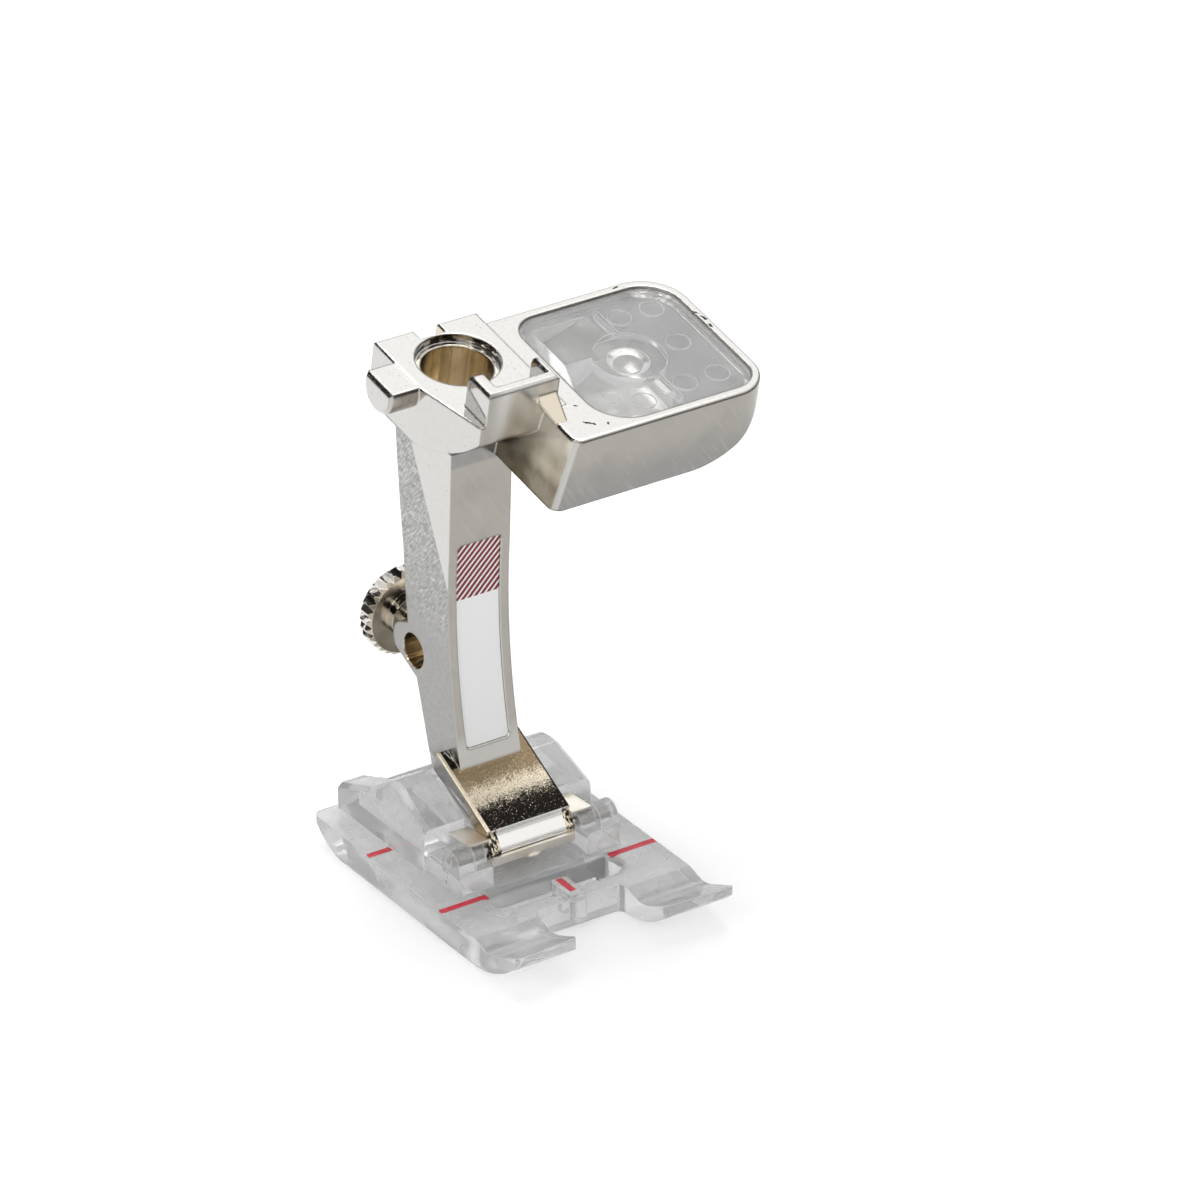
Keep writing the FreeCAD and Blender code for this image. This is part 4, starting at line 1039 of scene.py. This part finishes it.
@dataclass(frozen=True)
class ClearPlastic:
    """Clear moulded plastic: greyish through its flats as painted shade, milky along its edges with a painted white
    highlight there, with painted shade on a needle slot's rear wall where it has one, and faint flow marks.
    """

    name: str
    tint: Colour = (0.90, 0.90, 0.90)
    flat_shade_tint: Colour = (0.67, 0.67, 0.67)
    milk: Colour = (0.66, 0.66, 0.66)
    edge_highlight: Colour = (0.95, 0.95, 0.95)
    shadow: Colour = (0.68, 0.68, 0.68)
    milky: float = 0.24
    edge_share: float = 0.5
    edge_turn: Step = (0.97, 0.82)
    level: Step = (0.55, 0.9)
    slot_shade_tint: Colour = (0.20, 0.20, 0.205)
    slot_shade: float = 0.0
    slot_y: Band = (0.2, 0.4, 0.1)
    slot_rear: Step = (-0.7, -0.9)
    slot_reach: Step = (6.0, 5.8)
    slot_fade: Step = (-8.0, 3.0)
    haze: float = 0.05
    milk_rough: float = 0.25
    bend: float = 1.46
    relief: Relief = Relief(0.16, 0.12, 0.08)
    flow: Grain = Grain(0.35, 3.0, 0.55, share=0.1)
    flow_rough: tuple[Step, float] = ((0.3, 0.8), 0.06)
    flow_milk: tuple[Step, float] = ((0.2, 0.9), 0.12)

    def make(self) -> bpy.types.Material:
        """Build the material.

        Returns:
            The material.
        """
        material, graph = new_material(self.name)
        where = graph.millimetres()
        flow = self.flow.value(graph, where)
        rounded = self.relief.rounded(graph)
        # Painted highlight: the rounded edges take a whiter milky colour and more of the milky share.
        plain = graph.node("ShaderNodeNewGeometry").outputs["Normal"]
        along = graph.node("ShaderNodeVectorMath", {"operation": "DOT_PRODUCT"}, {0: rounded, 1: plain})
        edge = Number(graph, along.outputs["Value"]).over(*self.edge_turn)
        _, _, up = graph.axes(graph.coordinates("Normal"))
        # Painted shade: faces that lie flat take a darker tint.
        level = abs(up).over(*self.level)
        # Painted shade on the needle slot's rear wall.
        wall = self._slot_wall(graph, where)
        clear_rough, haze_share = (flow.over(*band) * share for band, share in (self.flow_rough, self.flow_milk))
        normal = self.relief.raised(graph, rounded, flow)
        clear = graph.node("ShaderNodeBsdfPrincipled", None, {
            "Base Color": graph.mix(wall, graph.mix(level, self.tint, self.flat_shade_tint), self.slot_shade_tint),
            "Roughness": clear_rough + self.haze,
            "IOR": self.bend,
            "Transmission Weight": 1.0,
            "Normal": normal,
        })
        milk = graph.node("ShaderNodeBsdfPrincipled", None, {
            "Base Color": graph.mix(wall, graph.mix(edge, self.milk, self.edge_highlight), self.slot_shade_tint),
            "Roughness": flow * self.flow.share + self.milk_rough,
            "Normal": normal,
        })
        share = haze_share + self.milky + edge * self.edge_share
        hazy = graph.node("ShaderNodeMixShader", None, {0: share, 1: clear.outputs[0], 2: milk.outputs[0]})
        through = graph.node("ShaderNodeBsdfTransparent", None, {"Color": self.shadow})
        shadowed = graph.node("ShaderNodeLightPath").outputs["Is Shadow Ray"]
        mixed = graph.node("ShaderNodeMixShader", None, {0: shadowed, 1: hazy.outputs[0], 2: through.outputs[0]})
        graph.node("ShaderNodeOutputMaterial", None, {"Surface": mixed.outputs[0]})
        return material

    def _slot_wall(self, graph: Graph, where: Any) -> Number:
        """Mask of the painted shade on the needle slot's rear wall.

        Args:
            graph: The material's graph.
            where: Row coordinates in millimetres.

        Returns:
            The mask.
        """
        x, y, _ = graph.axes(where)
        _, rear, _ = graph.axes(graph.coordinates("Normal"))
        wall = y.within(*self.slot_y) * rear.over(*self.slot_rear)
        return wall * abs(x).over(*self.slot_reach) * x.over(*self.slot_fade) * self.slot_shade


@dataclass(frozen=True)
class PrintedLabel:
    """Matt grey-white plate with a hatch of dark red diagonal stripes in its upper part."""

    shank: ShankFrame
    paper: Colour = (0.80, 0.80, 0.80)
    ink: Colour = (0.19, 0.014, 0.022)
    hatch_low: Step = (17.65, 17.68)
    hatch_period: float = 0.655
    hatch_ink: Band = (0.0, 0.61, 0.06)
    hatch_rise: float = 1.03
    wobble: Grain = Grain(2.0, 1.0, share=0.03)
    fibre: Grain = Grain(9.0, share=0.15)
    rough: float = 0.38
    relief: Relief = Relief(0.04, 0.08, 0.02)

    def make(self) -> bpy.types.Material:
        """Build the material.

        Returns:
            The material.
        """
        material, graph = new_material("printed_label")
        where = self.shank.coordinates(graph)
        x, _, z = graph.axes(where)
        wobble = self.wobble.value(graph, where) * self.wobble.share
        phase = (z - x * self.hatch_rise + wobble).saw(self.hatch_period)
        hatch = phase.within(*self.hatch_ink) * z.over(*self.hatch_low)
        fibre = self.fibre.value(graph, where)
        graph.surface({
            "Base Color": graph.mix(hatch, self.paper, self.ink),
            "Roughness": fibre * self.fibre.share + self.rough,
            "Normal": self.relief.raised(graph, self.relief.rounded(graph), fibre),
        })
        return material


@dataclass(frozen=True)
class RedPaint:
    """Red paint that fills an engraved mark."""

    red: Colour = (0.52, 0.012, 0.035)
    light_red: Colour = (0.62, 0.035, 0.06)
    blotch: Grain = Grain(1.6, 3.0, band=(0.35, 0.7), share=0.2)
    rough: float = 0.3
    relief: Relief = Relief(0.03, 0.15, 0.03)

    def make(self) -> bpy.types.Material:
        """Build the material.

        Returns:
            The material.
        """
        material, graph = new_material("red_paint")
        blotch = self.blotch.value(graph, graph.millimetres())
        graph.surface({
            "Base Color": graph.mix(blotch.over(*self.blotch.band), self.red, self.light_red),
            "Roughness": blotch * self.blotch.share + self.rough,
            "Normal": self.relief.raised(graph, self.relief.rounded(graph), blotch),
        })
        return material


class Steel(Enum):
    """The foot's steels."""

    SHEET = TurnedSteel("spring_sheet", (0.98, 0.95, 0.88), (0.88, 0.80, 0.68), rough=0.26)
    RIVET = TurnedSteel("rivet_steel", (0.6, 0.59, 0.57), (0.5, 0.48, 0.45))
    SCREW = TurnedSteel("screw_steel", (0.56, 0.50, 0.42), (0.42, 0.36, 0.28), facets=1.0, rough=0.14)
    PIN = TurnedSteel("pin_steel", (0.66, 0.65, 0.63), (0.55, 0.53, 0.5))


class Plastic(Enum):
    """The foot's clear plastics."""

    LENS = ClearPlastic("lens_plastic", flat_shade_tint=(0.86, 0.86, 0.855), milky=0.18, haze=0.04, bend=1.38)
    SOLE = ClearPlastic("sole_plastic", slot_shade=0.85)


def dress(node: bpy.types.Object, material: bpy.types.Material) -> None:
    """Give a piece one material all over.

    Args:
        node: The piece.
        material: Its material.
    """
    node.data.materials.clear()
    node.data.materials.append(material)
    LOG.info("%s wears %s", node.name, material.name)


def put_in_mesh(piece: bpy.types.Object) -> None:
    """Apply a piece's place, turn and size to its mesh.

    Args:
        piece: The piece.
    """
    bpy.ops.object.select_all(action="DESELECT")
    piece.select_set(True)
    bpy.context.view_layer.objects.active = piece
    bpy.ops.object.transform_apply(location=True, rotation=True, scale=True)


@dataclass
class Shank:
    """Cast shank with its label, lens, clip and rivet."""

    frame: dict[str, Any]
    shank_frame: ShankFrame

    def dress(self) -> None:
        """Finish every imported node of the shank."""
        finishes = {
            "shank_casting": NickelCasting(self.shank_frame),
            "label_plate": PrintedLabel(self.shank_frame),
            "sensor_lens": Plastic.LENS.value,
            "leaf_clip": Steel.SHEET.value,
            "clip_rivet": Steel.RIVET.value,
        }
        for name, finish in finishes.items():
            dress(self.frame["nodes"][name], finish.make())


@dataclass
class ThumbScrew:
    """Turned thumb screw with V teeth round its disc."""

    frame: dict[str, Any]

    def dress(self) -> None:
        """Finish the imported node."""
        dress(self.frame["nodes"]["thumb_screw"], Steel.SCREW.value.make())


@dataclass(frozen=True)
class Mark:
    """A painted mark of the sole, in millimetres.

    Attributes:
        x: Its centre across.
        y: Its centre to the rear.
        length: Its length.
        across: Whether it runs across.
        face: Height of the face that it lies in.
    """

    x: float
    y: float
    length: float
    across: bool
    face: float


class MarkLine(Enum):
    """The four painted marks."""

    RIGHT = Mark(8.4, 0.0, 4.6, True, 2.6)
    LEFT = Mark(-8.4, 0.0, 4.6, True, 2.6)
    REAR = Mark(-9.58, 11.15, 2.24, True, 2.6)
    CENTRE = Mark(0.0, -2.65, 2.3, False, 3.0)


@dataclass
class Sole:
    """Clear sole with its pin and the red paint in its engraved marks."""

    frame: dict[str, Any]
    mark_width: float = 0.64
    paint_low: float = 0.11
    paint_high: float = -0.012
    paint_edge: float = 0.03
    smooth_deg: float = 40.0
    marks: list[bpy.types.Object] = field(default_factory=list)

    def build(self) -> None:
        """Model the paint of each mark as a low pad in its groove."""
        for line in MarkLine:
            self.marks.append(self._paint(line))

    def _paint(self, line: MarkLine) -> bpy.types.Object:
        """Model one mark's paint.

        Args:
            line: Which mark.

        Returns:
            The new piece.
        """
        mark = line.value
        thickness = self.paint_low - self.paint_high
        middle = mark.face - (self.paint_low + self.paint_high) / 2
        wide = (mark.length, self.mark_width) if mark.across else (self.mark_width, mark.length)
        bpy.ops.object.select_all(action="DESELECT")
        bpy.ops.mesh.primitive_cube_add(
            size=1.0,
            location=Vector((mark.x, mark.y, middle)) * MM,
            scale=Vector((*wide, thickness)) * MM,
        )
        piece = bpy.context.object
        piece.name = f"mark_paint_{line.name.lower()}"
        put_in_mesh(piece)
        bpy.ops.object.mode_set(mode="EDIT")
        bpy.ops.mesh.select_all(action="SELECT")
        bpy.ops.mesh.bevel(offset=self.paint_edge * MM, segments=2, affect="EDGES")
        bpy.ops.object.mode_set(mode="OBJECT")
        bpy.ops.object.shade_smooth_by_angle(angle=math.radians(self.smooth_deg))
        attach(piece, "sole")
        return piece

    def dress(self) -> None:
        """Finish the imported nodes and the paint."""
        nodes = self.frame["nodes"]
        dress(nodes["clear_sole"], Plastic.SOLE.value.make())
        dress(nodes["hinge_pin"], Steel.PIN.value.make())
        paint = RedPaint().make()
        for piece in self.marks:
            dress(piece, paint)


@dataclass(frozen=True)
class Lamp:
    """A square soft lamp.

    Attributes:
        place: Where it hangs, in metres.
        width: Its side in metres.
        power: Its power in watts.
        mirrored: Whether shiny surfaces show it.
    """

    place: Triple
    width: float
    power: float
    mirrored: bool = True


class StudioLamp(Enum):
    """The studio's lamps."""

    TOP_SOFTBOX = Lamp((0.10, 0.16, 0.60), 0.36, 1.9)
    REAR_SOFTBOX = Lamp((0.30, 0.31, 0.47), 0.46, 0.22)
    LEFT_SOFTBOX = Lamp((-0.45, -0.10, 0.42), 0.3, 0.7)
    FRONT_FILL = Lamp((-0.10, -0.60, 0.22), 0.3, 0.9, mirrored=False)


@dataclass
class Studio:
    """Camera at the photograph's angle, pale floor, white surround and soft lamps."""

    camera_place: Vector = Vector((-0.29918, -0.45771, 0.31969))
    camera_turns: Triple = (61.97, -33.63, -0.2)
    sensor: float = 36.0
    lens: float = 227.4
    clip: Step = (0.01, 20.0)
    floor_size: float = 6.0
    floor_drop: float = 0.00002
    floor_tone: Colour = (0.93, 0.93, 0.93)
    floor_lift: float = 0.10
    ambient: float = 0.5
    dark: Colour = (0.21, 0.195, 0.175)
    horizon_top: Step = (0.46, 0.32)
    horizon_low: Step = (-0.06, 0.0)
    uneven: Grain = Grain(1.6, 1.0, share=0.16)
    lamp_aim: Vector = Vector((0.0, 0.0, 0.02))

    def build(self) -> None:
        """Build the whole studio."""
        self._camera()
        self._floor()
        self._world()
        for lamp in StudioLamp:
            self._softbox(lamp.name.lower(), lamp.value)
        bpy.context.scene.view_settings.view_transform = "Standard"

    def _camera(self) -> None:
        """Place the camera."""
        data = bpy.data.cameras.new("camera")
        data.sensor_width = self.sensor
        data.lens = self.lens
        data.clip_start, data.clip_end = self.clip
        camera = bpy.data.objects.new("camera", data)
        bpy.context.scene.collection.objects.link(camera)
        tilt, turn, roll = (math.radians(angle) for angle in self.camera_turns)
        turned = Euler((tilt, 0.0, turn), "XYZ").to_matrix() @ Matrix.Rotation(roll, 3, "Z")
        camera.matrix_world = Matrix.Translation(self.camera_place) @ turned.to_4x4()
        bpy.context.scene.camera = camera

    def _seen(self, graph: Graph, path: bpy.types.Node) -> Number:
        """Mask of the rays that the camera sees, also through the clear plastic."""
        return Number(graph, path.outputs["Is Camera Ray"]) + Number(graph, path.outputs["Is Transmission Ray"])

    def _floor(self) -> None:
        """Lay the floor."""
        bpy.ops.object.select_all(action="DESELECT")
        bpy.ops.mesh.primitive_plane_add(size=self.floor_size, location=(0.0, 0.0, -self.floor_drop))
        floor = bpy.context.object
        floor.name = "floor"
        material, graph = new_material("floor_paper")
        paper = graph.node("ShaderNodeBsdfDiffuse", None, {"Color": self.floor_tone})
        lift = graph.node("ShaderNodeEmission", None, {"Color": WHITE, "Strength": self.floor_lift})
        seen = self._seen(graph, graph.node("ShaderNodeLightPath")).at_most(1.0)
        lit = graph.node("ShaderNodeAddShader", None, {0: paper.outputs[0], 1: lift.outputs[0]})
        mixed = graph.node("ShaderNodeMixShader", None, {0: seen, 1: paper.outputs[0], 2: lit.outputs[0]})
        graph.node("ShaderNodeOutputMaterial", None, {"Surface": mixed.outputs[0]})
        floor.data.materials.append(material)

    def _world(self) -> None:
        """Surround the object with white over a dark horizon that only mirrors show."""
        world = bpy.data.worlds.new("surround")
        bpy.context.scene.world = world
        world.use_nodes = True
        graph = Graph(world.node_tree)
        direction = graph.coordinates("Generated")
        _, _, height = graph.axes(direction)
        uneven = self.uneven.value(graph, direction) * self.uneven.share
        horizon = (height + uneven).over(*self.horizon_top) * height.over(*self.horizon_low)
        path = graph.node("ShaderNodeLightPath")
        mirrored = Number(graph, path.outputs["Is Glossy Ray"])
        inside = Number(graph, path.outputs["Transmission Depth"]).at_most(1.0)
        shown = (self._seen(graph, path) + mirrored).at_most(1.0)
        back = graph.node("ShaderNodeBackground", None, {
            "Color": graph.mix(horizon * mirrored * (1.0 - inside), WHITE, self.dark),
            "Strength": shown * (1.0 - self.ambient) + self.ambient,
        })
        graph.node("ShaderNodeOutputWorld", None, {"Surface": back.outputs[0]})

    def _softbox(self, name: str, lamp: Lamp) -> None:
        """Hang one square lamp that looks at the object.

        Args:
            name: The lamp's name.
            lamp: Its place, size and power.
        """
        data = bpy.data.lights.new(name, "AREA")
        data.shape = "SQUARE"
        data.size = lamp.width
        data.energy = lamp.power
        light = bpy.data.objects.new(name, data)
        bpy.context.scene.collection.objects.link(light)
        light.location = lamp.place
        light.rotation_euler = (self.lamp_aim - Vector(lamp.place)).to_track_quat("-Z", "Y").to_euler()
        light.visible_glossy = lamp.mirrored


def main() -> None:
    """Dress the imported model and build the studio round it."""
    logging.basicConfig(level=logging.INFO, format="%(name)s: %(message)s")
    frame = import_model()
    Shank(frame, ShankFrame.read(frame)).dress()
    ThumbScrew(frame).dress()
    sole = Sole(frame)
    sole.build()
    sole.dress()
    Studio().build()


if __name__ == "__main__":
    main()
